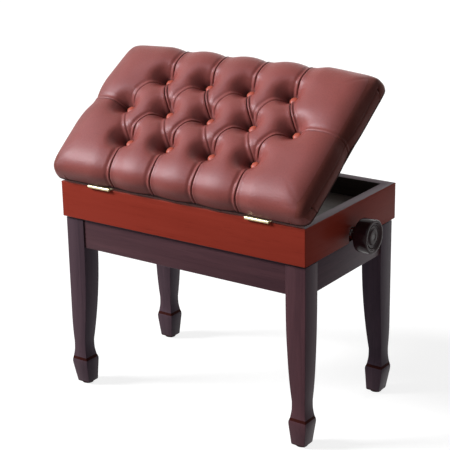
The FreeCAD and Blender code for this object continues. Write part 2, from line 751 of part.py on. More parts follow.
# Lead screw with its collars and knobs
SCREW_END = f"({BOX_X} + sizes.knob_gap + sizes.knob_bore_depth)"
keep(rod("lead_screw", "X", "sizes.screw_diameter", f"2 * {SCREW_END}", f"-{SCREW_END}", MID, SCREW_Z),
     "lead_screw")
COLLAR_OUT = f"({PLATE_IN} - sizes.bush_flange - sizes.free_gap)"
keep(group("thrust_collars", [
    ring(f"collar_{end}", "X", "sizes.collar_diameter", "sizes.screw_diameter", "sizes.collar_length",
         f"{COLLAR_OUT} - sizes.collar_length" if sign > 0 else f"-{COLLAR_OUT}", MID, SCREW_Z)
    for end, sign in ENDS.items()
]), "thrust_collars")

KNOB_X = f"({BOX_X} + sizes.knob_gap)"
BOSS_FACE = "(sizes.knob_length - sizes.knob_dish_depth + sizes.knob_boss_height)"
HEAD_SEAT = f"({BOSS_FACE} - sizes.knob_screw_head)"


def knob(name, half_turn):
    """A turned knob: hub, rounded body, bevelled rim, dished face and a boss with the screw's seat."""
    body = new_body(name)
    half = sketch_on(body, "XZ_Plane", name + "_half")
    radius = "sizes.knob_diameter / 2"
    dish = f"({radius} - sizes.knob_rim_bevel - sizes.knob_rim_width)"
    floor = "sizes.knob_length - sizes.knob_dish_depth"
    outline(half, [
        ("0", "sizes.screw_diameter / 2"),
        ("0", "sizes.knob_hub_diameter / 2"),
        ("sizes.knob_hub_length", "sizes.knob_hub_diameter / 2"),
        ("sizes.knob_hub_length", f"{radius} - sizes.knob_back_round"),
        ("sizes.knob_hub_length + sizes.knob_back_round", radius, "from"),
        ("sizes.knob_length - sizes.knob_rim_bevel", radius),
        ("sizes.knob_length", f"{radius} - sizes.knob_rim_bevel", "from"),
        ("sizes.knob_length", dish),
        (floor, f"{dish} - sizes.knob_dish_slope"),
        (floor, "sizes.knob_boss_diameter / 2"),
        (BOSS_FACE, "sizes.knob_boss_diameter / 2 - sizes.knob_boss_height", "into"),
        (BOSS_FACE, "sizes.knob_screw_head_diameter / 2"),
        (HEAD_SEAT, "sizes.knob_screw_head_diameter / 2"),
        (HEAD_SEAT, "sizes.knob_screw_diameter / 2"),
        ("sizes.knob_bore_depth", "sizes.knob_screw_diameter / 2"),
        ("sizes.knob_bore_depth", "sizes.screw_diameter / 2"),
    ])
    turn = body.newObject("PartDesign::Revolution", name + "_turn")
    turn.Profile = half
    turn.ReferenceAxis = (half, ["H_Axis"])
    turn.Angle = 360
    body.Tip = turn
    if half_turn:
        place(body, f"-{KNOB_X}", MID, SCREW_Z, (0, 0, 1), "180")
    else:
        place(body, KNOB_X, MID, SCREW_Z)
    return keep(body, name)


knob("knob_right", False)
knob("knob_left", True)


def knob_screw(name, sign):
    """The screw that holds a knob on the end of the shaft."""
    seat = f"({KNOB_X} + {HEAD_SEAT})"
    head_x = seat if sign > 0 else f"-{seat} - sizes.knob_screw_head + sizes.free_gap"
    shank_x = SCREW_END if sign > 0 else f"-{seat}"
    head = rod(name + "_head", "X", "sizes.knob_screw_head_diameter - 2 * sizes.free_gap",
               "sizes.knob_screw_head - sizes.free_gap", head_x, MID, SCREW_Z)
    shank = rod(name + "_shank", "X", "sizes.knob_screw_diameter - 2 * sizes.run_fit",
                f"{seat} - {SCREW_END}", shank_x, MID, SCREW_Z)
    return fuse(name, [head, shank])


keep(group("knob_screws", [
    knob_screw(f"knob_screw_{end}", sign) for end, sign in ENDS.items()
]), "knob_screws")


# Seat box: four mitred panels grooved for the floor, notched over the screw at both ends
def panel(name, plane, across, sign, half_width, half_length, notched):
    body = new_body(name)
    section = sketch_on(body, plane, name + "_section")

    def inward(depth):
        return f"{sign} * ({half_width} - ({depth}))"

    outline(section, [
        (inward("0"), "sizes.box_bottom"),
        (inward("0"), f"{BOX_TOP} - sizes.box_edge_round"),
        (inward("sizes.box_edge_round"), BOX_TOP, "from"),
        (inward("sizes.box_wall"), BOX_TOP),
        (inward("sizes.box_wall"), FLOOR_TOP),
        (inward("sizes.box_wall - sizes.floor_groove"), FLOOR_TOP),
        (inward("sizes.box_wall - sizes.floor_groove"), FLOOR_UNDER),
        (inward("sizes.box_wall"), FLOOR_UNDER),
        (inward("sizes.box_wall"), "sizes.box_bottom"),
    ])
    pad(body, section, f"2 * {half_length}", name + "_pad", middle=True)
    mitre = sketch_on(body, "XY_Plane", name + "_mitre")
    for end in (-1, 1):
        corner = [
            (f"{end} * ({half_length} + sizes.box_wall)", inward("-sizes.box_wall")),
            (f"{end} * ({half_length} + sizes.box_wall)", inward("2 * sizes.box_wall")),
            (f"{end} * ({half_length} - 2 * sizes.box_wall)", inward("2 * sizes.box_wall")),
        ]
        outline(mitre, [point if across == "Y" else (point[1], point[0]) for point in corner])
    pocket(body, mitre, name + "_mitres")
    if notched:
        notch = sketch_on(body, "YZ_Plane", name + "_notch_outline")
        half = "sizes.notch_diameter / 2"
        outline(notch, [
            (f"-{half}", "sizes.box_bottom - sizes.box_wall"),
            (half, "sizes.box_bottom - sizes.box_wall"),
            (half, SCREW_Z),
            ("0", f"{SCREW_Z} + {half}", "from"),
            (f"-{half}", SCREW_Z, "into"),
        ])
        pocket(body, notch, name + "_notch")
    place(body, "0", MID, "0")
    return keep(body, name)


for side, sign in SIDES.items():
    panel(f"box_panel_{side}", "YZ_Plane", "Y", sign, BOX_Y, BOX_X, False)
for end, sign in ENDS.items():
    panel(f"box_panel_{end}", "XZ_Plane", "X", sign, BOX_X, BOX_Y, True)

FLOOR_X = f"({BOX_X} - sizes.box_wall + sizes.floor_groove)"
FLOOR_Y = f"({BOX_Y} - sizes.box_wall + sizes.floor_groove)"
keep(block("box_floor", f"2 * {FLOOR_X}", f"2 * {FLOOR_Y}", "sizes.floor_thickness",
           f"-{FLOOR_X}", f"{MID} - {FLOOR_Y}", FLOOR_UNDER), "box_floor")

# Butt hinges, drawn in a frame whose origin lies on the hinge axis
KNUCKLES = 5
BARREL = "sizes.hinge_barrel_diameter"
LEAF_NEAR = f"({BARREL} / 2 + sizes.free_gap)"
LEAF_FAR = "(sizes.hinge_offset + sizes.hinge_width)"


def hinge_leaf(name, end_sign, knuckles, leaf_z):
    """One leaf: a plate clear of the barrel, with its own knuckles joined to it by tabs."""
    start = f"({end_sign} * sizes.hinge_spacing / 2 - sizes.hinge_length / 2)"
    pieces = [block(name + "_plate", "sizes.hinge_length", f"{LEAF_FAR} - {LEAF_NEAR}", "sizes.hinge_leaf",
                    start, LEAF_NEAR, leaf_z)]
    width = f"(sizes.hinge_length / {KNUCKLES} - sizes.hinge_knuckle_gap)"
    for index in knuckles:
        x = f"{start} + {index} * sizes.hinge_length / {KNUCKLES} + sizes.hinge_knuckle_gap / 2"
        pieces.append(rod(f"{name}_knuckle_{index}", "X", BARREL, width, x, "0", "0"))
        pieces.append(block(f"{name}_tab_{index}", width, f"2 * {LEAF_NEAR}", "sizes.hinge_leaf",
                            x, "0", leaf_z))
    bore = rod(name + "_bore", "X", "sizes.hinge_pin_diameter + 2 * sizes.run_fit", "sizes.hinge_length",
               start, "0", "0")
    return cut(name, fuse(name + "_solid", pieces), bore)


box_leaves = group("hinge_box_leaves", [
    hinge_leaf(f"box_leaf_{end}", sign, (0, 2, 4), "-sizes.hinge_gap") for end, sign in ENDS.items()
])
keep(place(box_leaves, "0", HINGE_Y, HINGE_Z), "hinge_box_leaves")
lid_leaves = group("hinge_lid_leaves", [
    hinge_leaf(f"lid_leaf_{end}", sign, (1, 3), "sizes.hinge_gap - sizes.hinge_leaf")
    for end, sign in ENDS.items()
])
keep(on_lid(lid_leaves), "hinge_lid_leaves")


def hinge_pin(name, end_sign):
    start = f"({end_sign} * sizes.hinge_spacing / 2 - sizes.hinge_length / 2)"
    finish = f"({end_sign} * sizes.hinge_spacing / 2 + sizes.hinge_length / 2)"
    pin = rod(name + "_shank", "X", "sizes.hinge_pin_diameter", "sizes.hinge_length",
              start, HINGE_Y, HINGE_Z)
    heads = [
        rod(f"{name}_head_{index}", "X", f"{BARREL} - 4 * sizes.free_gap", "sizes.hinge_pin_head",
            x, HINGE_Y, HINGE_Z)
        for index, x in enumerate((f"{start} - sizes.hinge_pin_head", finish))
    ]
    return fuse(name, [pin] + heads)


keep(group("hinge_pins", [hinge_pin(f"hinge_pin_{end}", sign) for end, sign in ENDS.items()]), "hinge_pins")

# Lid: a board in the cushion's underside, with a cloth lining below it
LID_X = f"({BOX_X} + sizes.lid_overhang)"
BOARD_X = f"({LID_X} - sizes.lid_skirt)"
BOARD_NEAR = "(sizes.lid_near_edge + sizes.lid_skirt)"
BOARD_DEPTH = "(sizes.lid_depth - 2 * sizes.lid_skirt)"


def lid_block(name, half_length, near, depth, low, height):
    """A block in the lid's frame, turned open with the lid."""
    part = block(name, f"2 * {half_length}", depth, height, "0", "0", "0")
    turn = "sizes.lid_open"
    return place(part, f"-{half_length}",
                 f"{HINGE_Y} + {near} * cos({turn}) - ({low}) * sin({turn})",
                 f"{HINGE_Z} + {near} * sin({turn}) + ({low}) * cos({turn})", (1, 0, 0), turn)


keep(lid_block("lid_board", BOARD_X, BOARD_NEAR, BOARD_DEPTH, LID_UNDER, "sizes.lid_board_thickness"),
     "lid_board")
keep(lid_block("lid_lining", f"({BOARD_X} - sizes.lining_inset)",
               f"({BOARD_NEAR} + sizes.lining_inset / 2)", f"({BOARD_DEPTH} - sizes.lining_inset)",
               f"{LID_UNDER} - sizes.lining_thickness", "sizes.lining_thickness"), "lid_lining")

# Tufts: staggered rows, the middle row with one button more than its neighbours
TUFT_ROWS = (4, 5, 4)


def tuft_places():
    """The row, the place in the row, and the texts of x and y of each tuft, on the lid."""
    for row, count in enumerate(TUFT_ROWS):
        for index in range(count):
            x = f"sizes.tuft_pitch * {index - (count - 1) / 2}"
            y = f"(sizes.tuft_first_row + sizes.tuft_row_spacing * {row})"
            yield row, index, x, y


BUTTON_W = f"({LID_UNDER} + sizes.free_gap + sizes.cushion_height - sizes.tuft_depth + sizes.free_gap)"


def tuft_button(name, x, y):
    """A domed button: the cap of a ball, standing square to the lid."""
    cap = doc.addObject("Part::Sphere", name)
    rise = "sqrt(sizes.button_dome_radius ^ 2 - (sizes.button_diameter / 2) ^ 2)"
    cap.setExpression("Radius", "sizes.button_dome_radius")
    cap.setExpression("Angle1", "acos(sizes.button_diameter / 2 / sizes.button_dome_radius)")
    turn = "sizes.lid_open"
    low = f"({BUTTON_W} - {rise})"
    return place(cap, x, f"{HINGE_Y} + {y} * cos({turn}) - {low} * sin({turn})",
                 f"{HINGE_Z} + {y} * sin({turn}) + {low} * cos({turn})", (1, 0, 0), turn)


keep(group("tuft_buttons", [
    tuft_button(f"button_{row}_{index}", x, y) for row, index, x, y in tuft_places()
]), "tuft_buttons")


# Cushion: a lofted crown over drawn-in sides, sunk at each tuft and creased along the pleats
def rounded_rectangle(half_length, near, far, corner, height):
    """A level wire of lines and corner arcs."""
    centre = (near + far) / 2
    half_depth = (far - near) / 2
    edges = []
    quarter = math.pi / 2
    corners = [(1, -1), (1, 1), (-1, 1), (-1, -1)]
    for turns, (x, y) in enumerate(corners, start=-1):
        middle = vector(x * (half_length - corner), centre + y * (half_depth - corner), height)
        circle = Part.Circle(middle, vector(0, 0, 1), corner)
        arc = Part.ArcOfCircle(circle, turns * quarter, (turns + 1) * quarter)
        if edges:
            edges.append(Part.LineSegment(edges[-1].EndPoint, arc.StartPoint))
        edges.append(arc)
    edges.append(Part.LineSegment(edges[-1].EndPoint, edges[0].StartPoint))
    return Part.Wire([edge.toShape() for edge in edges])


def crown(bottom):
    """The plain cushion: widest at the shoulder, rounded over to a level crown."""
    bulge = number("sizes.cushion_bulge")
    shoulder = number("sizes.cushion_shoulder")
    height = number("sizes.cushion_height")
    inset_top = number("sizes.crown_inset")
    near = number("sizes.lid_near_edge")
    far = near + number("sizes.lid_depth")
    length = number(LID_X)
    corner = number("sizes.cushion_corner")
    levels = [(-bulge * math.sin(t * math.pi / 2), shoulder * t) for t in (0, 0.5, 1)]
    for degrees in (25, 50, 70, 85):
        turn = math.radians(degrees)
        inset = inset_top * (1 - math.cos(turn)) - bulge
        levels.append((inset, shoulder + (height - shoulder) * math.sin(turn)))
    levels.append((inset_top - bulge, height))
    wires = [rounded_rectangle(length - inset, near + inset, far - inset, corner, bottom + level)
             for inset, level in levels]
    return Part.makeLoft(wires, True, False)


def hollow_outline(half_width, depth, top, inner):
    """Half of a hollow's section: two sides and the roll of the leather down to its floor."""
    radius = ((half_width - inner) ** 2 + depth ** 2) / (2 * depth)
    centre = vector(half_width, 0, top - radius)
    edge = vector(half_width, 0, top)
    foot = vector(inner, 0, top - depth)
    half_turn = (math.pi / 2 + math.atan2(foot.z - centre.z, foot.x - centre.x)) / 2
    waist = centre + vector(math.cos(half_turn), 0, math.sin(half_turn)) * radius
    return edge, waist, foot


def tuft_hollow(x, y, top, room):
    """The round sink about one button."""
    inner = number("sizes.button_diameter") / 2 + number("sizes.free_gap")
    edge, waist, foot = hollow_outline(number("sizes.tuft_radius"), number("sizes.tuft_depth"), top, inner)
    floor = vector(0, 0, foot.z)
    roof = vector(0, 0, top + room)
    eave = vector(edge.x, 0, top + room)
    section = Part.Wire([
        Part.LineSegment(floor, foot).toShape(), Part.Arc(foot, waist, edge).toShape(),
        Part.LineSegment(edge, eave).toShape(), Part.LineSegment(eave, roof).toShape(),
        Part.LineSegment(roof, floor).toShape(),
    ])
    sink = Part.Face(section).revolve(vector(), vector(0, 0, 1), 360)
    sink.translate(vector(x, y, 0))
    return sink


def pleat(start, end, top, room):
    """The crease between two points: two rolls of leather that meet in a line."""
    half_width = number("sizes.pleat_half_width")
    edge, waist, foot = hollow_outline(half_width, number("sizes.pleat_depth"), top, 0)
    mirrored = [vector(-point.x, 0, point.z) for point in (edge, waist)]
    eaves = [vector(edge.x, 0, top + room), vector(-edge.x, 0, top + room)]
    section = Part.Wire([
        Part.Arc(foot, waist, edge).toShape(), Part.LineSegment(edge, eaves[0]).toShape(),
        Part.LineSegment(eaves[0], eaves[1]).toShape(), Part.LineSegment(eaves[1], mirrored[0]).toShape(),
        Part.Arc(mirrored[0], mirrored[1], foot).toShape(),
    ])
    along = end - start
    crease = Part.Face(section).extrude(vector(0, along.Length, 0))
    crease.rotate(vector(), vector(0, 0, 1), math.degrees(math.atan2(along.y, along.x)) - 90)
    crease.translate(start)
    return crease


def pleat_lines(near, far, half_length):
    """Creases from each button to its neighbours in the next row, and to the nearest edges."""
    rows = [[] for _ in TUFT_ROWS]
    for row, index, x, y in tuft_places():
        rows[row].append(vector(number(x), number(y), 0))
    for row in (0, 2):
        for index, spot in enumerate(rows[row]):
            edge = near if row == 0 else far
            yield spot, vector(spot.x, edge, 0)
            yield spot, rows[1][index]
            yield spot, rows[1][index + 1]
    for spot, sign in ((rows[1][0], -1), (rows[1][-1], 1)):
        yield spot, vector(sign * half_length, spot.y, 0)


def tufted_cushion():
    bottom = number(f"{LID_UNDER} + sizes.free_gap")
    top = bottom + number("sizes.cushion_height")
    room = number("sizes.tuft_depth")
    bulge = number("sizes.cushion_bulge")
    near = number("sizes.lid_near_edge")
    far = near + number("sizes.lid_depth")
    hollows = [tuft_hollow(number(x), number(y), top, room) for row, index, x, y in tuft_places()]
    lines = pleat_lines(near - 2 * bulge, far + 2 * bulge, number(LID_X) + 2 * bulge)
    creases = [pleat(start, end, top, room) for start, end in lines]
    gap = number("sizes.free_gap")
    board = Part.makeBox(
        2 * (number(BOARD_X) + gap), number(BOARD_DEPTH) + 2 * gap,
        number("sizes.lid_board_thickness") + gap,
        vector(-number(BOARD_X) - gap, number(BOARD_NEAR) - gap, number(LID_UNDER)))
    return crown(bottom).cut(hollows + creases + [board])


cushion = doc.addObject("Part::Feature", "cushion")
cushion.Shape = tufted_cushion()
cushion.Placement = FreeCAD.Placement(
    vector(0, number(HINGE_Y), number(HINGE_Z)),
    FreeCAD.Rotation(vector(1, 0, 0), number("sizes.lid_open")))
keep(cushion, "cushion")

# Lid stay: an arm on a bracket under the lid, whose pin slides in a track on the left wall
WALL_X = f"(-({BOX_X} - sizes.box_wall))"
STAY_X = f"({WALL_X} + sizes.stay_thickness + sizes.free_gap)"
EAR_X = f"({STAY_X} + sizes.stay_thickness + sizes.free_gap)"
STAY_Y = f"({HINGE_Y} + sizes.stay_pivot * cos(sizes.lid_open) + sizes.stay_drop * sin(sizes.lid_open))"
STAY_LENGTH = (f"(2 * {BOX_Y} - sizes.box_wall + sizes.hinge_offset - sizes.stay_end_room"
               " - sizes.track_margin - sizes.stay_pivot)")
STAY_RISE = "(sizes.stay_pivot * sin(sizes.lid_open) - sizes.stay_drop * cos(sizes.lid_open))"
STAY_ANGLE = f"asin(({STAY_RISE} + sizes.stay_drop) / {STAY_LENGTH})"
TRACK_Z = f"({HINGE_Z} - sizes.stay_drop)"
TRACK_NEAR = f"({STAY_Y} + {STAY_LENGTH} * cos({STAY_ANGLE}))"
TRACK_FAR = f"({HINGE_Y} + sizes.stay_pivot + {STAY_LENGTH})"


def stay_arm(name):
    body = new_body(name)
    face = sketch_on(body, "YZ_Plane", name + "_face")
    outline_round(face, "0", STAY_LENGTH, "0", "sizes.stay_width / 2")
    hole_circle(face, "0", "0", "sizes.stay_pin_diameter + 2 * sizes.run_fit")
    pad(body, face, "sizes.stay_thickness", name + "_pad")
    pin = sketch_on(body, "YZ_Plane", name + "_pin_face")
    hole_circle(pin, STAY_LENGTH, "0", "sizes.stay_pin_diameter")
    pad(body, pin, "sizes.stay_thickness", name + "_pin", reverse=True)
    place(body, STAY_X, STAY_Y, f"{HINGE_Z} + {STAY_RISE}", (-1, 0, 0), STAY_ANGLE)
    return keep(body, name)


def stay_track(name):
    body = new_body(name)
    face = sketch_on(body, "YZ_Plane", name + "_face")
    outline_round(face, f"{TRACK_NEAR} - sizes.track_margin", f"{TRACK_FAR} + sizes.track_margin", TRACK_Z,
                  "sizes.track_width / 2")
    slot(face, TRACK_NEAR, TRACK_FAR, TRACK_Z, "sizes.stay_pin_diameter + 2 * sizes.stay_play")
    pad(body, face, "sizes.stay_thickness", name + "_pad")
    place(body, WALL_X)
    return keep(body, name)


def stay_bracket(name):
    body = new_body(name)
    half = "sizes.stay_width / 2"
    near = "(sizes.stay_pivot - sizes.bracket_plate_length / 2)"
    ear = sketch_on(body, "YZ_Plane", name + "_ear_face")
    outline(ear, [
        (f"sizes.stay_pivot - {half}", LID_UNDER),
        (f"sizes.stay_pivot - {half}", "-sizes.stay_drop"),
        ("sizes.stay_pivot", f"-sizes.stay_drop - {half}", "from"),
        (f"sizes.stay_pivot + {half}", "-sizes.stay_drop", "into"),
        (f"sizes.stay_pivot + {half}", LID_UNDER),
    ])
    pad(body, ear, "sizes.bracket_plate", name + "_ear")
    foot = sketch_on(body, "YZ_Plane", name + "_foot_face")
    outline(foot, [
        (near, f"{LID_UNDER} - sizes.bracket_plate"),
        (f"{near} + sizes.bracket_plate_length", f"{LID_UNDER} - sizes.bracket_plate"),
        (f"{near} + sizes.bracket_plate_length", LID_UNDER),
        (near, LID_UNDER),
    ])
    pad(body, foot, "sizes.bracket_plate_width", name + "_foot")
    pin = sketch_on(body, "YZ_Plane", name + "_pin_face")
    hole_circle(pin, "sizes.stay_pivot", "-sizes.stay_drop", "sizes.stay_pin_diameter")
    pad(body, pin, "sizes.stay_thickness + sizes.free_gap", name + "_pin", reverse=True)
    place(body, EAR_X, HINGE_Y, HINGE_Z, (1, 0, 0), "sizes.lid_open")
    return keep(body, name)


stay_track("stay_track")
stay_arm("stay_arm")
stay_bracket("stay_bracket")

# Check every object, then write each sub-part
doc.recompute()
for item in doc.Objects:
    if "Invalid" in item.State or "Error" in item.State:
        raise RuntimeError(f"{item.Name} failed: {item.State}")
for part in SUBPARTS:
    if part.Shape.isNull() or not part.Shape.isValid():
        raise RuntimeError(f"{part.Label} has no valid shape")
    part.Shape.exportStep(f"parts/{part.Label}.step")
print(len(SUBPARTS), "sub-parts written")
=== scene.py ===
import math

import bmesh
import bpy
import numpy as np
from mathutils import Matrix, Vector


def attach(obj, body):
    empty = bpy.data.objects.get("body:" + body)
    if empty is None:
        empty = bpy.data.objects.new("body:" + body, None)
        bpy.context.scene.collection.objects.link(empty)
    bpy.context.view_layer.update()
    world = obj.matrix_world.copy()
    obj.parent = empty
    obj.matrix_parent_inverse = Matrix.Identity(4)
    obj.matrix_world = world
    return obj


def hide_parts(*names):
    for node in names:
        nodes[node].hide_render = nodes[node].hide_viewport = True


# Adjustable piano bench: lacquered legs and seat box, a buttoned leather lid, and a screw lift.
# Metres, X along the bench, the hinged side of the lid at -Y, Z up from the floor.

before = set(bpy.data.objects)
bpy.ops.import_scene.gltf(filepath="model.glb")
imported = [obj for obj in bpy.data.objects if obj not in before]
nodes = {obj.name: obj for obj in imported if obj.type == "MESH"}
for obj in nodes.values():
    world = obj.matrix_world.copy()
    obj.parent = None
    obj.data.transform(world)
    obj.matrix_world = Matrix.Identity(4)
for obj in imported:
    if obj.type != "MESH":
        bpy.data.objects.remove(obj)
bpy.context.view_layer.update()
scene = bpy.context.scene

# Places that the source gives, in metres
MIDDLE_Y = 0.011
HINGE = Vector((0.0, -0.1576, 0.4345))
LID_OPEN = math.radians(35)
LID_PLACE = Matrix.Translation(HINGE) @ Matrix.Rotation(LID_OPEN, 4, "X")


# Building helpers
def finished(obj, body, slot, *replaced):
    """Hand a piece over: it rides on a body and stands for CAD nodes, which it hides; its slot is not used.
    """
    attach(obj, body)
    if replaced:
        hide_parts(*replaced)
    return obj


def given(target, **settings):
    """Set several properties of one thing."""
    for key, value in settings.items():
        setattr(target, key, value)
    return target


def in_scene(name, data, materials=()):
    """An object of a mesh, a lamp or a camera, put in the scene."""
    obj = bpy.data.objects.new(name, data)
    scene.collection.objects.link(obj)
    for material in materials:
        data.materials.append(material)
    return obj


def mesh_piece(name, points, faces, *materials):
    mesh = bpy.data.meshes.new(name)
    mesh.from_pydata([tuple(p) for p in points], [], [tuple(f) for f in faces])
    mesh.update()
    return in_scene(name, mesh, materials)


def from_bmesh(name, bm, *materials):
    mesh = bpy.data.meshes.new(name)
    bm.to_mesh(mesh)
    bm.free()
    return in_scene(name, mesh, materials)


def rings_of(bm, profile, count):
    """Rings of points about Z, from a profile of radius and height, where no radius makes a tip."""
    rings = []
    for radius, height in profile:
        sides = count if radius else 1
        angles = [2 * math.pi * i / sides for i in range(sides)]
        rings.append([bm.verts.new((radius * math.cos(a), radius * math.sin(a), height)) for a in angles])
    return rings


def join_rings(bm, rings):
    """Faces between rings of points that follow each other, where a ring of one point is a tip."""
    count = max(len(ring) for ring in rings)
    for one, two in zip(rings, rings[1:]):
        for i in range(count):
            j = (i + 1) % count
            corners = (one[i % len(one)], one[j % len(one)], two[j % len(two)], two[i % len(two)])
            unique = list(dict.fromkeys(corners))
            if len(unique) > 2:
                bm.faces.new(unique)


def smooth(obj, angle=None):
    """Smooth shading, with edges sharper than the angle kept crisp."""
    mesh = obj.data
    mesh.polygons.foreach_set("use_smooth", [True] * len(mesh.polygons))
    if angle is not None:
        bm = bmesh.new()
        bm.from_mesh(mesh)
        for edge in bm.edges:
            edge.smooth = not (edge.is_manifold and edge.calc_face_angle(0) > math.radians(angle))
        bm.to_mesh(mesh)
        bm.free()
    mesh.update()
    return obj


def baked(obj):
    """Replace an object's mesh by a plain one of what its modifiers make."""
    bpy.context.view_layer.update()
    graph = bpy.context.evaluated_depsgraph_get()
    mesh = bpy.data.meshes.new_from_object(obj.evaluated_get(graph), depsgraph=graph)
    obj.modifiers.clear()
    obj.data = mesh
    mesh.name = obj.name
    return obj


# Finishes
def times(colour, factor):
    return tuple(c * factor for c in colour)


class Finish:
    """A material, or the world, whose nodes are added one at a time."""

    def __init__(self, name, kind="materials", shader="Principled BSDF"):
        self.made = getattr(bpy.data, kind).new(name)
        self.made.use_nodes = True
        self.tree = self.made.node_tree
        self.shader = self.tree.nodes[shader]

    def feed(self, socket, source):
        """Link what comes from a node, and set what is a value."""
        if isinstance(source, bpy.types.NodeSocket):
            self.tree.links.new(source, socket)
        else:
            socket.default_value = (*source, 1) if socket.type == "RGBA" else source

    def add(self, kind, inputs=(), **settings):
        node = given(self.tree.nodes.new("ShaderNode" + kind), **settings)
        for key, source in dict(inputs).items():
            self.feed(node.inputs[key], source)
        return node

    def done(self, **inputs):
        """Feed the shader, and give what was made."""
        for key, source in inputs.items():
            self.feed(self.shader.inputs[key.replace("_", " ")], source)
        return self.made

    def place(self, scale=(1, 1, 1), turn=(0, 0, 0)):
        """Object coordinates, stretched and turned."""
        where = self.add("TexCoord").outputs["Object"]
        return self.add("Mapping", {"Vector": where, "Scale": scale, "Rotation": turn}).outputs["Vector"]

    def noise(self, where, scale, detail=4.0, rough=0.55, twist=0.0):
        node = self.add("TexNoise", {"Vector": where, "Scale": scale, "Detail": detail, "Roughness": rough,
                                     "Distortion": twist})
        return node.outputs["Fac"]

    def ramp(self, source, stops):
        node = self.add("ValToRGB", {"Fac": source})
        band = node.color_ramp.elements
        while len(band) < len(stops):
            band.new(0.5)
        for element, (at, colour) in zip(band, stops):
            element.position = at
            element.color = (*colour, 1)
        return node.outputs["Color"]

    def spread(self, source, low, high, start=0.0, end=1.0):
        node = self.add("MapRange", {"Value": source, "From Min": start, "From Max": end, "To Min": low,
                                     "To Max": high})
        return node.outputs["Result"]

    def mix(self, share, first, second):
        return self.add("Mix", {0: share, 6: first, 7: second}, data_type="RGBA").outputs[2]

    def math(self, kind, first, second):
        return self.add("Math", {0: first, 1: second}, operation=kind).outputs[0]

    def bump(self, height, strength, depth, **under):
        inputs = {"Height": height, "Strength": strength, "Distance": depth, **under}
        return self.add("Bump", inputs).outputs["Normal"]


def stretched(along, share):
    """Scale of a pattern that is drawn out along one axis."""
    return tuple(share if axis == along else 1 for axis in "XYZ")


def lacquered_wood(name, along, dark, light, streak, gloss, shine, tint=(1, 1, 1)):
    """Stained hardwood under lacquer, its grain along one axis."""
    finish = Finish(name)
    where = finish.place(stretched(along, 0.05))
    figure = finish.noise(where, 55, 5, 0.6, 0.6)
    fine = finish.noise(where, 420, 3, 0.7)
    broad = finish.noise(finish.place(), 7, 2)
    between = tuple((a + b) / 2 for a, b in zip(dark, light))
    colour = finish.ramp(figure, [(0.30, dark), (0.52, between), (0.72, light)])
    pores = finish.spread(fine, 0, 1, 0.58, 0.72)
    colour = finish.mix(finish.math("MULTIPLY", pores, 0.45), colour, streak)
    colour = finish.mix(finish.spread(broad, 0.0, 0.25, 0.35, 0.75), colour, light)
    rough = finish.spread(fine, gloss - 0.05, gloss + 0.10)
    return finish.done(Base_Color=colour, Roughness=rough, Normal=finish.bump(fine, 0.10, 0.0002),
                       Specular_IOR_Level=shine, Specular_Tint=tint)


def plain_wood(name):
    finish = Finish(name)
    where = finish.place((0.06, 0.25, 1))
    rings = finish.noise(where, 70, 5, 0.6, 1.0)
    fine = finish.noise(where, 520, 3)
    colour = finish.ramp(rings, [(0.3, (0.36, 0.22, 0.11)), (0.55, (0.50, 0.33, 0.18)),
                                 (0.75, (0.58, 0.42, 0.25))])
    colour = finish.mix(finish.spread(fine, 0, 0.5, 0.5, 0.75), colour, (0.26, 0.15, 0.07))
    rough = finish.spread(fine, 0.55, 0.75)
    return finish.done(Base_Color=colour, Roughness=rough, Normal=finish.bump(fine, 0.25, 0.0003))


def leather(name, shade_colour, body, crest, shine, grain=1.0):
    """Pebbled leather with painted shade in its folds, and paler on its crests."""
    finish = Finish(name)
    where = finish.place()
    pebble = finish.add("TexVoronoi", {"Vector": where, "Scale": 760, "Randomness": 1.0}, feature="F1")
    edges = finish.spread(pebble.outputs["Distance"], 0, 1, 0.15, 0.75)
    wrinkle = finish.noise(where, 300, 6, 0.75, 0.3)
    cloud = finish.noise(where, 9, 3)
    fold = finish.add("Attribute", attribute_name="fold").outputs["Fac"]
    colour = finish.mix(finish.spread(cloud, 0, 1, 0.3, 0.7), body, times(body, 0.86))
    colour = finish.mix(finish.math("MULTIPLY", edges, 0.12 * grain), colour, crest)
    colour = finish.mix(finish.spread(wrinkle, 0.30, 0.0, 0.36, 0.56), colour, times(body, 0.6))
    # Painted shade: the colour darkens towards the shade colour in folds, wells and along the lower edges
    colour = finish.mix(fold, colour, shade_colour)
    rough = finish.math("ADD", finish.spread(wrinkle, 0.28, 0.42), finish.math("MULTIPLY", fold, 0.5))
    pebbles = finish.bump(edges, 0.30 * grain, 0.0004)
    normal = finish.bump(wrinkle, 0.34 * grain, 0.0011, Normal=pebbles)
    # The faint cool specular tint is painted colour of reflected light
    return finish.done(Base_Color=colour, Roughness=rough, Normal=normal, Specular_IOR_Level=shine,
                       Specular_Tint=(0.96, 0.94, 1.0))


def metal(name, colour, rough, lines):
    """Worn metal with fine drawn lines and a little tarnish."""
    finish = Finish(name)
    drawn = finish.noise(finish.place(stretched("X", 0.04)), 900, 3)
    cloud = finish.noise(finish.place(), 60, 4, 0.6)
    shade = finish.mix(finish.spread(cloud, 0, 0.8, 0.45, 0.8), colour, times(colour, 0.62))
    worn = finish.spread(cloud, rough - 0.06, rough + 0.1)
    worn = finish.math("ADD", finish.spread(drawn, -lines, lines), worn)
    return finish.done(Base_Color=shade, Roughness=worn, Metallic=1.0,
                       Normal=finish.bump(drawn, 0.08, 0.0002))


def painted_metal(name, colour):
    finish = Finish(name)
    where = finish.place()
    peel = finish.noise(where, 650, 3)
    cloud = finish.noise(where, 25, 4)
    shade = finish.mix(finish.spread(cloud, 0, 1, 0.4, 0.7), colour, times(colour, 1.5))
    rough = finish.spread(cloud, 0.32, 0.5)
    return finish.done(Base_Color=shade, Roughness=rough, Normal=finish.bump(peel, 0.18, 0.0002))


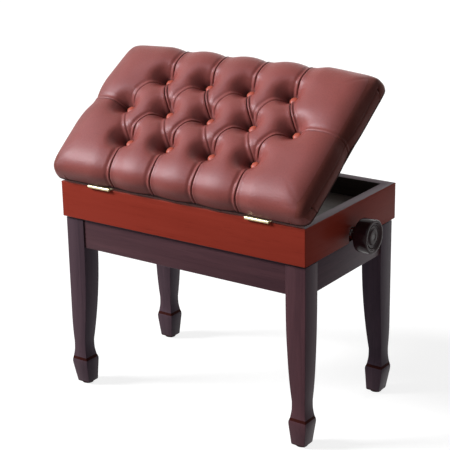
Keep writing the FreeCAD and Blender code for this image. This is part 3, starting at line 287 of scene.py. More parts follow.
def moulded_plastic(name, colour, rough, shine):
    finish = Finish(name)
    where = finish.place()
    fine = finish.noise(where, 900, 2)
    cloud = finish.noise(where, 40, 4)
    shade = finish.mix(finish.spread(cloud, 0, 1, 0.35, 0.7), colour, times(colour, 1.35))
    rough = finish.spread(cloud, rough - 0.05, rough + 0.08)
    return finish.done(Base_Color=shade, Roughness=rough, Normal=finish.bump(fine, 0.06, 0.0001),
                       Specular_IOR_Level=shine)


def woven_cloth(name, colour):
    finish = Finish(name)
    where = finish.place(turn=(LID_OPEN, 0, 0))
    warp, weft = (finish.add("TexWave", {"Vector": where, "Scale": 260, "Distortion": 0.8, "Detail": 1},
                             bands_direction=way).outputs["Fac"] for way in "XY")
    weave = finish.math("MULTIPLY", warp, weft)
    lint = finish.noise(where, 300, 4)
    shade = finish.mix(finish.spread(weave, 0, 0.6), colour, times(colour, 2.0))
    shade = finish.mix(finish.spread(lint, 0, 0.35, 0.5, 0.8), shade, times(colour, 2.6))
    return finish.done(Base_Color=shade, Normal=finish.bump(weave, 0.3, 0.0003), Roughness=0.92,
                       Sheen_Weight=0.08, Sheen_Roughness=0.5)


# Woods: dark, light and streak colours, then gloss and shine
# Bluish tint on the legs' reflections: painted colour of cool reflected light
LEG_REFLECTION_TINT = (0.46, 0.58, 1.0)
LEG_STAIN = (0.045, 0.019, 0.022), (0.085, 0.036, 0.041), (0.016, 0.007, 0.007), 0.30, 0.10, LEG_REFLECTION_TINT
# A cooler copy of the leg stain for three of the legs: painted light, as they are lit differently
LEG_STAIN_AND_COOL_LIGHT = (0.044, 0.025, 0.031), (0.082, 0.047, 0.057), (0.016, 0.009, 0.010), 0.30, 0.10, LEG_REFLECTION_TINT
BOX_STAIN = (0.245, 0.030, 0.018), (0.285, 0.037, 0.023), (0.15, 0.016, 0.010), 0.32, 0.02
INNER_STAIN = (0.042, 0.029, 0.025), (0.075, 0.055, 0.048), (0.020, 0.014, 0.013), 0.5, 0.15
# A dark mauve copy of the box lacquer for the rim's top: painted reflection over the wood's grain
RIM_STAIN_AND_REFLECTION = (0.074, 0.026, 0.044), (0.108, 0.037, 0.063), (0.050, 0.017, 0.030), 0.30, 0.05
# A darker copy of the leg lacquer: painted shade in the foot's hollow, and darker faces at the lowest edge
FOOT_DARK_BANDS = (0.026, 0.005, 0.004), (0.040, 0.008, 0.006), (0.014, 0.004, 0.003), 0.5, 0.02
# Colour of the painted shade in the cushion's folds, wells and edges
PAINTED_SHADE_COLOUR = (0.012, 0.004, 0.003)

leg_wood = {axis: lacquered_wood("leg_lacquer_" + axis.lower(), axis, *LEG_STAIN) for axis in "XYZ"}
leg_wood_in_cool_light = lacquered_wood("leg_lacquer_cool", "Z", *LEG_STAIN_AND_COOL_LIGHT)
box_wood = {axis: lacquered_wood("box_lacquer_" + axis.lower(), axis, *BOX_STAIN) for axis in "XY"}
inner_wood = lacquered_wood("compartment_stain", "X", *INNER_STAIN)
rim_wood_and_reflection = lacquered_wood("rim_lacquer", "Y", *RIM_STAIN_AND_REFLECTION)
foot_glaze = lacquered_wood("foot_glaze", "Z", *FOOT_DARK_BANDS)
raw_wood = plain_wood("corner_block_wood")
seat_leather = leather("seat_leather", PAINTED_SHADE_COLOUR, (0.252, 0.061, 0.053), (0.328, 0.095, 0.085), 0.17)
# A darker, less glossy copy of the seat leather for the ends and underside: painted shade
side_leather = leather("side_leather", PAINTED_SHADE_COLOUR, (0.22, 0.060, 0.049), (0.29, 0.092, 0.076), 0.055)
button_leather = leather("button_leather", (0.10, 0.02, 0.014), (0.42, 0.085, 0.052), (0.52, 0.13, 0.09),
                         0.14, grain=0.6)
brass = metal("hinge_brass", (0.60, 0.51, 0.31), 0.42, 0.06)
bronze = metal("turned_bronze", (0.52, 0.33, 0.15), 0.34, 0.08)
steel = metal("zinc_steel", (0.56, 0.57, 0.58), 0.34, 0.08)
blackened_steel = metal("blackened_steel", (0.055, 0.050, 0.050), 0.36, 0.08)
black_paint = painted_metal("black_paint", (0.018, 0.018, 0.019))
knob_plastic = moulded_plastic("knob_plastic", (0.034, 0.012, 0.015), 0.14, 0.10)
glide_plastic = moulded_plastic("glide_plastic", (0.030, 0.029, 0.028), 0.5, 0.3)
lining_cloth = woven_cloth("lining_cloth", (0.012, 0.012, 0.013))


# Wooden pieces: copies of the CAD meshes with their edges eased
MERGE = 0.00002
FLAT = math.radians(0.3)


def welded(sources, drop=None):
    """One mesh of several CAD nodes, with their shared points merged and some faces left out."""
    bm = bmesh.new()
    for source in sources:
        bm.from_mesh(nodes[source].data)
    bmesh.ops.remove_doubles(bm, verts=bm.verts, dist=MERGE)
    if drop:
        bmesh.ops.delete(bm, geom=[f for f in bm.faces if drop(f)], context="FACES")
        bmesh.ops.remove_doubles(bm, verts=bm.verts, dist=MERGE)
    return bm


def eased(name, bm, width, materials, choose=None):
    """Join the flat triangles of a welded mesh into whole faces and ease its sharp edges."""
    bm.normal_update()
    if choose:
        for face in bm.faces:
            face.material_index = choose(face)
    bmesh.ops.dissolve_limit(bm, angle_limit=FLAT, verts=bm.verts, edges=bm.edges, delimit={"MATERIAL"})
    obj = from_bmesh(name, bm, *materials)
    given(obj.modifiers.new("ease", "BEVEL"), width=width, segments=3, limit_method="ANGLE",
          angle_limit=math.radians(28), use_clamp_overlap=True)
    return smooth(baked(obj), 24)


# Spade foot below the neck: heights, then how far its outer and inner faces lie inside the leg's outer face
FOOT_CUT = 0.090
FOOT_LEVELS = [(0.0840, 0.0015, 0.0300), (0.0760, 0.0013, 0.0302), (0.0690, 0.0006, 0.0310),
               (0.0600, -0.0007, 0.0325), (0.0545, -0.0020, 0.0345), (0.0520, -0.0024, 0.0350),
               (0.0490, -0.0025, 0.0352), (0.0440, -0.0021, 0.0349), (0.0058, 0.0036, 0.0328),
               (0.0038, 0.0043, 0.0321), (0.0030, 0.0054, 0.0310)]
# Heights of the hollow with painted shade, and of the darker lowest edge
HOLLOW_SHADE_LOW, HOLLOW_SHADE_HIGH, DARK_EDGE_TOP = 0.0545, 0.0600, 0.0060
LEVEL_SLACK = 0.0001


def spade_foot(bm, out_x, out_y):
    """Cut a leg at its neck and carry it on down through the foot's levels."""
    bm.normal_update()
    bmesh.ops.dissolve_limit(bm, angle_limit=FLAT, verts=bm.verts, edges=bm.edges)
    bmesh.ops.bisect_plane(bm, geom=bm.verts[:] + bm.edges[:] + bm.faces[:], plane_co=(0, 0, FOOT_CUT),
                           plane_no=(0, 0, 1), clear_inner=True)
    ring = [v for v in bm.verts if v.is_boundary]
    middle = sum((v.co for v in ring), Vector()) / len(ring)
    ring.sort(key=lambda v: math.atan2(v.co.y - middle.y, v.co.x - middle.x))
    face_x = max(v.co.x * out_x for v in ring) + FOOT_LEVELS[0][1]
    face_y = max(v.co.y * out_y for v in ring) + FOOT_LEVELS[0][1]
    signs = [(1 if v.co.x > middle.x else -1, 1 if v.co.y > middle.y else -1) for v in ring]
    for height, outer, inner in FOOT_LEVELS:
        lower = []
        for x, y in signs:
            across = out_x * (face_x - (outer if x == out_x else inner))
            along = out_y * (face_y - (outer if y == out_y else inner))
            lower.append(bm.verts.new((across, along, height)))
        for i in range(len(ring)):
            j = (i + 1) % len(ring)
            bm.faces.new((ring[i], lower[i], lower[j], ring[j]))
        ring = lower
    bm.faces.new(ring[::-1])
    return bm


def foot_finish(face):
    """The hollow over the foot's widest part takes painted shade, and the lowest edge is darker too."""
    low, high = min(v.co.z for v in face.verts), max(v.co.z for v in face.verts)
    hollow = low > HOLLOW_SHADE_LOW - LEVEL_SLACK and high < HOLLOW_SHADE_HIGH + LEVEL_SLACK
    return 1 if hollow or high < DARK_EDGE_TOP else 0


LEG_EASE, APRON_EASE, BOX_EASE = 0.0016, 0.0008, 0.0016
for side, out_y in (("near", -1), ("far", 1)):
    for end, out_x in (("left", -1), ("right", 1)):
        source = f"leg_{side}_{end}"
        # Three legs take the cooler copy of the stain, as painted light
        leg_coat = leg_wood["Z"] if source == "leg_near_right" else leg_wood_in_cool_light
        shape = spade_foot(welded([source]), out_x, out_y)
        leg = eased("lacquered_" + source, shape, LEG_EASE, [leg_coat, foot_glaze], foot_finish)
        finished(leg, "base", "leg_wood", source)
for source, axis in (("apron_near", "X"), ("apron_far", "X"), ("apron_left", "Y"), ("apron_right", "Y")):
    apron = eased("lacquered_" + source, welded([source]), APRON_EASE, [leg_wood[axis]])
    finished(apron, "base", "leg_wood", source)


def is_mitre(face):
    """Faces at the box's corners, where two panels meet."""
    normal = face.normal
    return abs(normal.z) < 0.1 and abs(abs(normal.x) - abs(normal.y)) < 0.02


# The box's outside, and how far from it faces are inside its walls
PANELS = ["box_panel_near", "box_panel_far", "box_panel_left", "box_panel_right"]
BOX_HALF_X, BOX_HALF_Y = 0.280, 0.165
WALL_INSIDE = -0.0215


def box_grain(face):
    """Finish of a face: along X on the long panels, along Y on the ends, the stained inside, or the rim,
    whose far and end tops take a mauve copy of the lacquer as painted reflection.
    """
    centre = face.calc_center_median()
    out_x, out_y = abs(centre.x) - BOX_HALF_X, abs(centre.y - MIDDLE_Y) - BOX_HALF_Y
    inside = max(out_x, out_y) < WALL_INSIDE
    if inside or face.normal.z < -0.5:
        return 2
    if face.normal.z > 0.9 and (out_x > out_y or centre.y > MIDDLE_Y):
        return 3
    return 1 if out_x > out_y else 0


box_frame = eased("seat_box_frame", welded(PANELS, is_mitre), BOX_EASE,
                  [box_wood["X"], box_wood["Y"], inner_wood, rim_wood_and_reflection], box_grain)
finished(box_frame, "seat_box", "box_wood", *PANELS)


# Cushion: one leather sheet, drawn over a crown, sunk at the buttons and folded between them.
# U runs along the bench and V away from the hinge, both from the cushion's middle, in the lid's frame.
CENTRE_V = 0.1705
HALF_U, HALF_V = 0.2874, 0.166
# Heights of the lower edge, of the shoulder over it and of the crown over that
BOTTOM, SHOULDER, CROWN = 0.0040, 0.0198, 0.0380
# The side's reach past the flat core at the shoulder and at the lower edge, and how square its curve is
ROLL, LOWER, SQUARE = 0.066, 0.0645, 0.82
CORE_U, CORE_V = HALF_U - 0.062, HALF_V - 0.062
PITCH, ROW_GAP, FIRST_ROW = 0.0955, 0.080, 0.0905 - CENTRE_V
BUTTON_RADIUS = 0.0085
BUTTONS = [[(PITCH * (i - (count - 1) / 2), FIRST_ROW + ROW_GAP * row) for i in range(count)]
           for row, count in enumerate((4, 5, 4))]
BUTTON_SPOTS = [spot for row in BUTTONS for spot in row]
CORNERS = [(side_u, side_v) for side_u in (-1, 1) for side_v in (-1, 1)]


def edge_profile():
    """Length along the leather from the crown to the lid's lower edge, and its reach and height there."""
    turn = np.linspace(math.pi / 2, 0, 160)
    down = np.linspace(1, 0, 20)[1:]
    side = LOWER + (ROLL - LOWER) * np.sin(down * math.pi / 2)
    reach = np.concatenate([ROLL * np.abs(np.cos(turn)) ** SQUARE, side])
    height = np.concatenate([SHOULDER + CROWN * np.abs(np.sin(turn)) ** SQUARE, SHOULDER * down])
    steps = np.hypot(np.diff(reach), np.diff(height))
    return np.concatenate([[0], np.cumsum(steps)]), reach, height


EDGE_LENGTH, EDGE_REACH, EDGE_HEIGHT = edge_profile()
SHEET_MARGIN = EDGE_LENGTH[-1]
SHEET_U, SHEET_V = CORE_U + SHEET_MARGIN, CORE_V + SHEET_MARGIN


def drape(u, v):
    """Points of the plain crown for points of the flat sheet, in the lid's frame."""
    core_u, core_v = np.clip(u, -CORE_U, CORE_U), np.clip(v, -CORE_V, CORE_V)
    du, dv = u - core_u, v - core_v
    far = np.maximum(np.abs(du), np.abs(dv))
    power = 2.6 + 6.0 * (far / SHEET_MARGIN) ** 1.2
    with np.errstate(divide="ignore", invalid="ignore"):
        a, b = np.abs(du) / far, np.abs(dv) / far
        norm = far * (a ** power + b ** power) ** (1 / power)
        scale = np.where(far > 1e-9, np.interp(far, EDGE_LENGTH, EDGE_REACH) / norm, 0)
    scale = np.nan_to_num(scale)
    height = BOTTOM + np.interp(far, EDGE_LENGTH, EDGE_HEIGHT)
    return np.stack([core_u + du * scale, CENTRE_V + core_v + dv * scale, height], -1)


def grid_normals(points):
    along_u = np.gradient(points, axis=0)
    along_v = np.gradient(points, axis=1)
    normal = np.cross(along_u, along_v)
    return normal / np.maximum(np.linalg.norm(normal, axis=-1, keepdims=True), 1e-12)


# Folds: start, end, the side whose puff laps over (1 is left of the run), the bow, and the crispness
def fold_lines():
    near, middle, far = BUTTONS
    lines = []
    for index, spot in enumerate(near):
        lines += [(spot, (spot[0], -SHEET_V), 1, 0.003, 1.0), (middle[index + 1], spot, 1, -0.017, 1.0),
                  (middle[index], spot, 1, -0.003, 0.3)]
    for index, spot in enumerate(far):
        lines += [(spot, (spot[0], SHEET_V), -1, -0.004, 1.0), (spot, middle[index + 1], -1, -0.003, 0.9),
                  (spot, middle[index], 1, -0.015, 0.4)]
    return lines + [(middle[0], (-SHEET_U, middle[0][1]), 1, -0.004, 0.7),
                    (middle[-1], (SHEET_U, middle[-1][1]), -1, 0.004, 0.4)]


def along_fold(u, v, start, end, bow):
    """Signed distance from a bowed line, how far a point lies past its ends, and the share passed."""
    start, end = np.array(start), np.array(end)
    run = end - start
    length = np.hypot(*run)
    run = run / length
    du, dv = u - start[0], v - start[1]
    share = (du * run[0] + dv * run[1]) / length
    inside = np.clip(share, 0, 1)
    side = dv * run[0] - du * run[1] - bow * 4 * inside * (1 - inside)
    beyond = np.maximum(np.maximum(-share, share - 1), 0) * length
    return side, beyond, inside, length


def reaches_edge(end):
    return abs(end[0]) > CORE_U or abs(end[1]) > CORE_V


def bell(distance, width):
    """One at no distance, falling off smoothly to nothing."""
    return np.exp(-(distance / width) ** 2)


def from_rim(u, v):
    """How far a point of the sheet lies from its nearest edge."""
    return np.minimum(SHEET_U - np.abs(u), SHEET_V - np.abs(v))


def soft_max(first, second, blend):
    """The larger of two depths, blended where they are alike."""
    gap = np.clip(blend - np.abs(first - second), 0, None)
    return np.maximum(first, second) + gap * gap / (4 * blend)


# Wells at the buttons, the fullness of the puffs, the valleys along the folds, and the corners' drop
WELL_DEPTH, WELL_WIDTH, WELL_POWER, WELL_BLEND = 0.0335, 0.058, 2.7, 0.005
FULLNESS, FULL_WIDTH = 0.0060, 0.026
VALLEY_SHIFT, VALLEY_WIDTH, VALLEY_END, VALLEY_BLEND = 0.0055, 0.026, 0.02, 0.003
CORNER_DROP, FAR_RIGHT_DROP, DROP_START, DROP_RUN = 0.0055, 1.7, 0.045, 0.10


def tuft_depth(u, v):
    """How far the leather is drawn in below the plain crown, or stands above it between the folds."""
    depth = np.zeros_like(u)
    full = np.ones_like(u)
    for start, end, lip, bow, crisp in fold_lines():
        side, beyond, share, length = along_fold(u, v, start, end, bow)
        side = side * lip
        valley = side + VALLEY_SHIFT * crisp
        across = np.where(valley > 0, valley / (0.022 - 0.006 * crisp), valley / VALLEY_WIDTH)
        away = np.hypot(across, beyond / VALLEY_END)
        if reaches_edge(end):
            sunk = 0.0046 + 0.0045 * (1 - share) ** 1.5
        else:
            sunk = 0.0076 + 0.0030 * (2 * share - 1) ** 2
        shape = np.clip(1 - (away if crisp > 0.5 else away * away), 0, 1) ** 2
        depth = soft_max(depth, shape * sunk * (0.70 + 0.30 * crisp), VALLEY_BLEND)
        full = full * (1 - np.exp(-(side * side + beyond * beyond) / FULL_WIDTH ** 2))
    for x, y in BUTTON_SPOTS:
        away = np.maximum(np.hypot(u - x + 0.006, v - y - 0.002) - 0.006, 0) / WELL_WIDTH
        depth = soft_max(depth, WELL_DEPTH * np.clip(1 - away, 0, 1) ** WELL_POWER, WELL_BLEND)
    drop_u = np.clip((np.abs(u) - CORE_U + DROP_START) / DROP_RUN, 0, 1)
    drop_v = np.clip((np.abs(v) - CORE_V + DROP_START) / DROP_RUN, 0, 1)
    rim = from_rim(u, v) / SHEET_MARGIN
    drop = CORNER_DROP * np.where((u > 0) & (v > 0), FAR_RIGHT_DROP, 1.0)
    eased_off = 0.5 + 0.5 * np.clip(rim / 0.32, 0, 1)
    inward = np.clip((rim - 0.08) / 0.35, 0, 1)
    return (depth - FULLNESS * full) * eased_off + drop * drop_u * drop_v * inward


def sheet_grid(step, split=1):
    """Flat points of the sheet, in cells of about one step that are split evenly."""
    count_u, count_v = round(2 * SHEET_U / step) * split + 1, round(2 * SHEET_V / step) * split + 1
    return np.meshgrid(np.linspace(-SHEET_U, SHEET_U, count_u), np.linspace(-SHEET_V, SHEET_V, count_v),
                       indexing="ij")


def grid_faces(count_u, count_v):
    index = np.arange(count_u * count_v).reshape(count_u, count_v)
    return np.stack([index[:-1, :-1], index[1:, :-1], index[1:, 1:], index[:-1, 1:]], -1).reshape(-1, 4)


def sunk_sheet(u, v):
    points = drape(u, v)
    return points - grid_normals(points) * tuft_depth(u, v)[..., None]


# Stuffing: cell of the cloth, pressure, frames, the most a point moves, and how far it is held
CLOTH_STEP, PRESSURE, CLOTH_FRAMES, MOST_SWELL = 0.005, 5.0, 20, 0.008
HELD_AT_BUTTON, HELD_AT_FOLD, HELD_AT_RIM, FOLD_HOLD = BUTTON_RADIUS + 0.0035, 0.0035, 0.003, 0.82


def stuffed(u, v, points):
    """How far the sheet's points move when it is blown up as cloth, held at buttons, folds and edge."""
    obj = mesh_piece("leather_cloth", points.reshape(-1, 3), grid_faces(*u.shape))
    held = (from_rim(u, v) < HELD_AT_RIM).astype(float)
    for x, y in BUTTON_SPOTS:
        held = np.maximum(held, np.hypot(u - x, v - y) < HELD_AT_BUTTON)
    for start, end, lip, bow, crisp in fold_lines():
        side, beyond, share, length = along_fold(u, v, start, end, bow)
        held = np.maximum(held, FOLD_HOLD * crisp * (np.hypot(side, beyond) < HELD_AT_FOLD))
    group = obj.vertex_groups.new(name="held")
    flat = held.ravel()
    for level in np.unique(flat[flat > 0]):
        group.add(np.nonzero(flat == level)[0].tolist(), float(level), "REPLACE")
    cloth = obj.modifiers.new("stuffing", "CLOTH")
    given(cloth.settings, quality=6, mass=0.25, tension_stiffness=22, compression_stiffness=22,
          shear_stiffness=10, bending_stiffness=2.5, use_pressure=True, uniform_pressure_force=PRESSURE,
          vertex_group_mass="held", pin_stiffness=1.0)
    cloth.settings.effector_weights.gravity = 0
    cloth.collision_settings.use_collision = False
    given(cloth.point_cache, frame_start=1, frame_end=CLOTH_FRAMES)
    for number in range(1, CLOTH_FRAMES + 1):
        scene.frame_set(number)
    graph = bpy.context.evaluated_depsgraph_get()
    swollen = obj.evaluated_get(graph).data
    result = np.zeros(len(swollen.vertices) * 3)
    swollen.vertices.foreach_get("co", result)
    scene.frame_set(1)
    bpy.data.objects.remove(obj)
    move = result.reshape(points.shape) - points
    size = np.linalg.norm(move, axis=-1, keepdims=True)
    return move * np.minimum(1, MOST_SWELL / np.maximum(size, 1e-9))


def upsample(values, count_u, count_v):
    """Smooth a coarse grid of points onto a finer one."""
    def weights(coarse, fine):
        at = np.linspace(0, coarse - 1, fine)
        base = np.clip(np.floor(at).astype(int), 0, coarse - 2)
        t = at - base
        table = np.zeros((fine, coarse))
        for offset, weight in ((-1, -0.5 * t + t ** 2 - 0.5 * t ** 3), (0, 1 - 2.5 * t ** 2 + 1.5 * t ** 3),
                               (1, 0.5 * t + 2 * t ** 2 - 1.5 * t ** 3), (2, -0.5 * t ** 2 + 0.5 * t ** 3)):
            np.add.at(table, (np.arange(fine), np.clip(base + offset, 0, coarse - 1)), weight)
        return table
    return np.einsum("ai,ijk,bj->abk", weights(values.shape[0], count_u), values,
                     weights(values.shape[1], count_v), optimize=True)


# Folds, in metres: the groove, the lip over it, the roll and hollow under it, and where it fades out
GROOVE_WIDTH, GROOVE_DEPTH = 0.00075, 0.0024
LIP_AT, LIP_WIDTH, LIP_RISE = 0.0040, 0.0030, 0.0006
ROLL_AT, ROLL_WIDTH, HOLLOW_AT, HOLLOW_WIDTH = -0.0034, 0.0021, -0.0085, 0.0030
FADE_START, FADE_RUN = 0.0085, 0.006
# Pleats at the corners, from the sheet's edge inwards
PLEATS = [((CORE_U + 0.045, SHEET_V), (CORE_U + 0.043, SHEET_V - 0.017)),
          ((SHEET_U, CORE_V + 0.052), (SHEET_U - 0.021, CORE_V + 0.047))]
PLEAT_WIDTH, PLEAT_DEPTH, PLEAT_LIP_AT, PLEAT_LIP_WIDTH, PLEAT_LIP = 0.0008, 0.0022, 0.003, 0.0025, 0.0012
TUCK_U, TUCK_V, TUCK_WIDTH, TUCK_DEPTH = SHEET_U - 0.021, CORE_V + 0.048, 0.0040, 0.0025
# The ends of the cushion, measured up from the sheet's edge
BOARD_EDGE, SIDE_TOP, END_REACH = 0.0240, 0.0500, CORE_V + 0.085
CREASE_WIDTH, CREASE_DEPTH = 0.0016, 0.0011


def fold_relief(u, v):
    """Height of the crisp folds and pleats, the painted shade in their grooves, and how near one is."""
    height, shade = np.zeros_like(u), np.zeros_like(u)
    nearest = np.full_like(u, 1.0)
    for start, end, lip, bow, crisp in fold_lines():
        side, beyond, share, length = along_fold(u, v, start, end, bow)
        nearest = np.minimum(nearest, np.hypot(side, beyond))
        side = side * lip
        passed = share * length
        fade = np.clip((passed - FADE_START) / FADE_RUN, 0, 1)
        if not reaches_edge(end):
            fade = fade * np.clip((length - passed - FADE_START) / FADE_RUN, 0, 1)
        fade = fade * (beyond < 1e-6)
        groove = bell(side, GROOVE_WIDTH)
        lapped = LIP_RISE * bell(side - LIP_AT, LIP_WIDTH) - GROOVE_DEPTH * groove
        roll = bell(side - ROLL_AT, ROLL_WIDTH) - 0.9 * bell(side - HOLLOW_AT, HOLLOW_WIDTH)
        height += fade * (crisp * lapped + (0.0004 + 0.0010 * crisp) * roll)
        # Painted shade along the groove
        shade = np.maximum(shade, fade * min(1, crisp * 1.1) * groove)
    for corner in CORNERS:
        for start, end in PLEATS:
            side, beyond, share, length = along_fold(u, v, np.multiply(start, corner),
                                                     np.multiply(end, corner), 0.001)
            nearest = np.minimum(nearest, np.hypot(side, beyond))
            fade = (1 - share) ** 0.7 * (beyond < 1e-6)
            side = side * corner[0] * corner[1]
            groove = bell(side, PLEAT_WIDTH)
            height += fade * (PLEAT_LIP * bell(side - PLEAT_LIP_AT, PLEAT_LIP_WIDTH) - PLEAT_DEPTH * groove)
            # Painted shade along the pleat's groove
            shade = np.maximum(shade, fade * groove)
    return height, shade, nearest


def end_weight(v):
    """One along an end of the cushion, fading out round its corners."""
    return np.clip((END_REACH + 0.030 - np.abs(v)) / 0.060, 0, 1)


def end_shade(u, v, crease):
    """Painted shade on the ends of the cushion and along its lower edge, and a painted shadow at the edge
    itself.
    """
    from_end, rim = SHEET_U - np.abs(u), from_rim(u, v)
    end = end_weight(v)
    # Painted shade on the ends' flanks, darkest over the board's edge
    above = 0.32 * np.clip(1 - (from_end - SIDE_TOP) / 0.035, 0, 1)
    roll = 0.12 + 0.50 * np.clip((SIDE_TOP - from_end) / (SIDE_TOP - BOARD_EDGE), 0, 1)
    flank = end * np.where(from_end > SIDE_TOP, above, np.where(from_end > BOARD_EDGE, roll, 0.40))
    # Painted shadow of the gap under the lower edge, and painted shade above it
    gap_shadow = 0.95 * np.clip((0.007 - rim) / 0.003, 0, 1)
    lower = 0.34 * np.clip(1 - rim / 0.034, 0, 1)
    return np.maximum.reduce([0.5 * crease, flank, gap_shadow, lower])


def fold_detail(u, v):
    """Height of all fine relief over the stuffed sheet, its painted shade, and how near folds or buttons
    lie.
    """
    height, shade, nearest = fold_relief(u, v)
    for x, y in BUTTON_SPOTS:
        away = np.hypot(u - x, v - y)
        nearest = np.minimum(nearest, np.maximum(away - 0.012, 0))
        pucker = np.sin(9 * np.arctan2(v - y, u - x) + 3 * x / PITCH)
        height += 0.0004 * pucker * bell(away - 0.0125, 0.005)
        # Painted shade in the well beside each button, and a ring of painted shade round it
        pit_shade = 0.85 * bell(np.hypot(u - x + 0.010, v - y - 0.003), 0.010)
        shade = np.maximum.reduce([shade, 0.6 * bell(away - BUTTON_RADIUS, 0.003), pit_shade])
    # A sunk crease along each end, which also takes painted shade
    crease = end_weight(v) * bell(SHEET_U - np.abs(u) - BOARD_EDGE, CREASE_WIDTH)
    height -= CREASE_DEPTH * crease
    shade = np.maximum(shade, end_shade(u, v, crease))
    for corner_u, corner_v in CORNERS:
        # A dent at each corner tuck, darkened with painted shade
        tuck = bell(np.hypot(u - corner_u * TUCK_U, v - corner_v * TUCK_V), TUCK_WIDTH)
        height -= TUCK_DEPTH * tuck
        shade = np.maximum(shade, 0.95 * tuck)
    return height, shade, nearest


# Fine cells near folds, and the leather's way round the board's edge: inset and level
CELL, SPLIT, FINE_WITHIN, RELIEF_FADE = 0.0024, 3, 0.0062, 0.006
WRAP = [(0.0012, 0.0035), (0.0020, 0.0013), (0.0030, 0.0008), (0.012, 0.0007), (0.0280, 0.0008),
        (0.0286, 0.0010), (0.0280, 0.0013), (0.0136, 0.0013), (0.0136, 0.0140)]
# Painted shade on the leather turned under the board
WRAP_SHADE = 0.8


def cell_faces(index, split):
    """Faces of a grid whose marked cells are split finely, with no open seams beside them."""
    marked = np.pad(split, 1)
    fine = grid_faces(SPLIT + 1, SPLIT + 1)
    faces = []
    for i, j in np.ndindex(split.shape):
        a, b = SPLIT * i, SPLIT * j
        if split[i, j]:
            block = index[a:a + SPLIT + 1, b:b + SPLIT + 1].ravel()
            faces += list(block[fine])
            continue
        beside = marked[i + 1, j], marked[i + 2, j + 1], marked[i + 1, j + 2], marked[i, j + 1]
        ring = []
        for (step_u, step_v), finer in zip(((1, 0), (0, 1), (-1, 0), (0, -1)), beside):
            ring += [index[a + step_u * k, b + step_v * k] for k in range(SPLIT if finer else 1)]
            a, b = a + step_u * SPLIT, b + step_v * SPLIT
        faces.append(ring)
    return faces


def leather_cushion():
    """The stuffed sheet with its folds, carried round the board's edge and closed underneath."""
    u, v = sheet_grid(CLOTH_STEP)
    points = sunk_sheet(u, v)
    swell = stuffed(u, v, points)
    u, v = sheet_grid(CELL, SPLIT)
    points = sunk_sheet(u, v) + upsample(swell, *u.shape)
    height, shade, nearest = fold_detail(u, v)
    height = height * np.clip(from_rim(u, v) / RELIEF_FADE, 0.25, 1)
    points = points + grid_normals(points) * height[..., None]
    index = np.arange(u.size).reshape(u.shape)
    faces = cell_faces(index, nearest[1::SPLIT, 1::SPLIT] < FINE_WITHIN)
    used = np.zeros(u.size, bool)
    used[np.concatenate(faces)] = True
    outline = np.concatenate([index[:-1, 0], index[-1, :-1], index[:0:-1, -1], index[0, :0:-1]])
    outline = outline[used[outline]]
    number = np.cumsum(used) - 1
    sheet = points.reshape(-1, 3)[used]
    faces = [number[face] for face in faces]
    flat_u, flat_v = u.ravel()[outline], v.ravel()[outline]
    core_v = CENTRE_V + np.clip(flat_v, -CORE_V, CORE_V)
    core = np.stack([np.clip(flat_u, -CORE_U, CORE_U), core_v], -1)
    edge = drape(flat_u, flat_v)[:, :2]
    last, every = number[outline], [sheet]
    for turn, (inset, level) in enumerate(WRAP):
        ring = core + (edge - core) * (LOWER - inset) / LOWER
        every.append(np.concatenate([ring, np.full((len(ring), 1), level)], -1))
        now = len(sheet) + turn * len(ring) + np.arange(len(ring))
        faces += list(np.stack([now, np.roll(now, -1), np.roll(last, -1), last], -1))
        last = now
    faces.append(last[::-1])
    every = np.concatenate(every)
    obj = mesh_piece("buttoned_leather_cushion", every, faces, seat_leather, side_leather)
    wrapped = len(every) - len(sheet)
    # The ends' flanks and the underside take the darker copy of the leather, as painted shade
    at_end = (SHEET_U - np.abs(u) < SIDE_TOP + 0.0005) & (np.abs(v) < END_REACH)
    shaded_side_points = np.concatenate([at_end.ravel()[used], np.full(wrapped, True)])
    for polygon in obj.data.polygons:
        polygon.material_index = int(shaded_side_points[list(polygon.vertices)].all())
    # Painted shade of folds, wells and edges, kept on the points for the leather finish
    fold = obj.data.attributes.new("fold", "FLOAT", "POINT")
    fold.data.foreach_set("value", np.concatenate([shade.ravel()[used], np.full(wrapped, WRAP_SHADE)]))
    obj.data.transform(LID_PLACE)
    return smooth(obj, 60)


cushion = leather_cushion()
finished(cushion, "lid", "leather", "cushion")


# Repeats: groups of nodes that set one shape on many points
def link_all(tree, *links):
    for source, output, target, socket in links:
        tree.links.new(source.outputs[output], target.inputs[socket])


def placing_group(name, sizes=()):
    """A group that sets a shape on points, makes it real and paints it, with its start and that setting."""
    tree = bpy.data.node_groups.new(name, "GeometryNodeTree")
    inputs = [("Points", "Geometry"), *((size, "Float") for size in sizes), ("Shape", "Object"),
              ("Finish", "Material")]
    for label, kind in inputs:
        tree.interface.new_socket(label, in_out="INPUT", socket_type="NodeSocket" + kind)
    tree.interface.new_socket("Pieces", in_out="OUTPUT", socket_type="NodeSocketGeometry")
    add = tree.nodes.new
    start, end = add("NodeGroupInput"), add("NodeGroupOutput")
    shape, put = add("GeometryNodeObjectInfo"), add("GeometryNodeInstanceOnPoints")
    real, paint = add("GeometryNodeRealizeInstances"), add("GeometryNodeSetMaterial")
    link_all(tree, (start, "Shape", shape, "Object"), (shape, "Geometry", put, "Instance"),
             (put, "Instances", real, "Geometry"), (real, "Geometry", paint, "Geometry"),
             (start, "Finish", paint, "Material"), (paint, "Geometry", end, "Pieces"))
    return tree, start, put


def with_group(obj, tree, **values):
    """Give an object a group of nodes with its inputs, and turn the result into a plain mesh."""
    modifier = obj.modifiers.new("repeat", "NODES")
    modifier.node_group = tree
    for item in tree.interface.items_tree:
        if item.in_out == "INPUT" and item.name in values:
            modifier[item.identifier] = values[item.name]
    baked(obj)
    bpy.data.objects.remove(values["Shape"])
    return obj


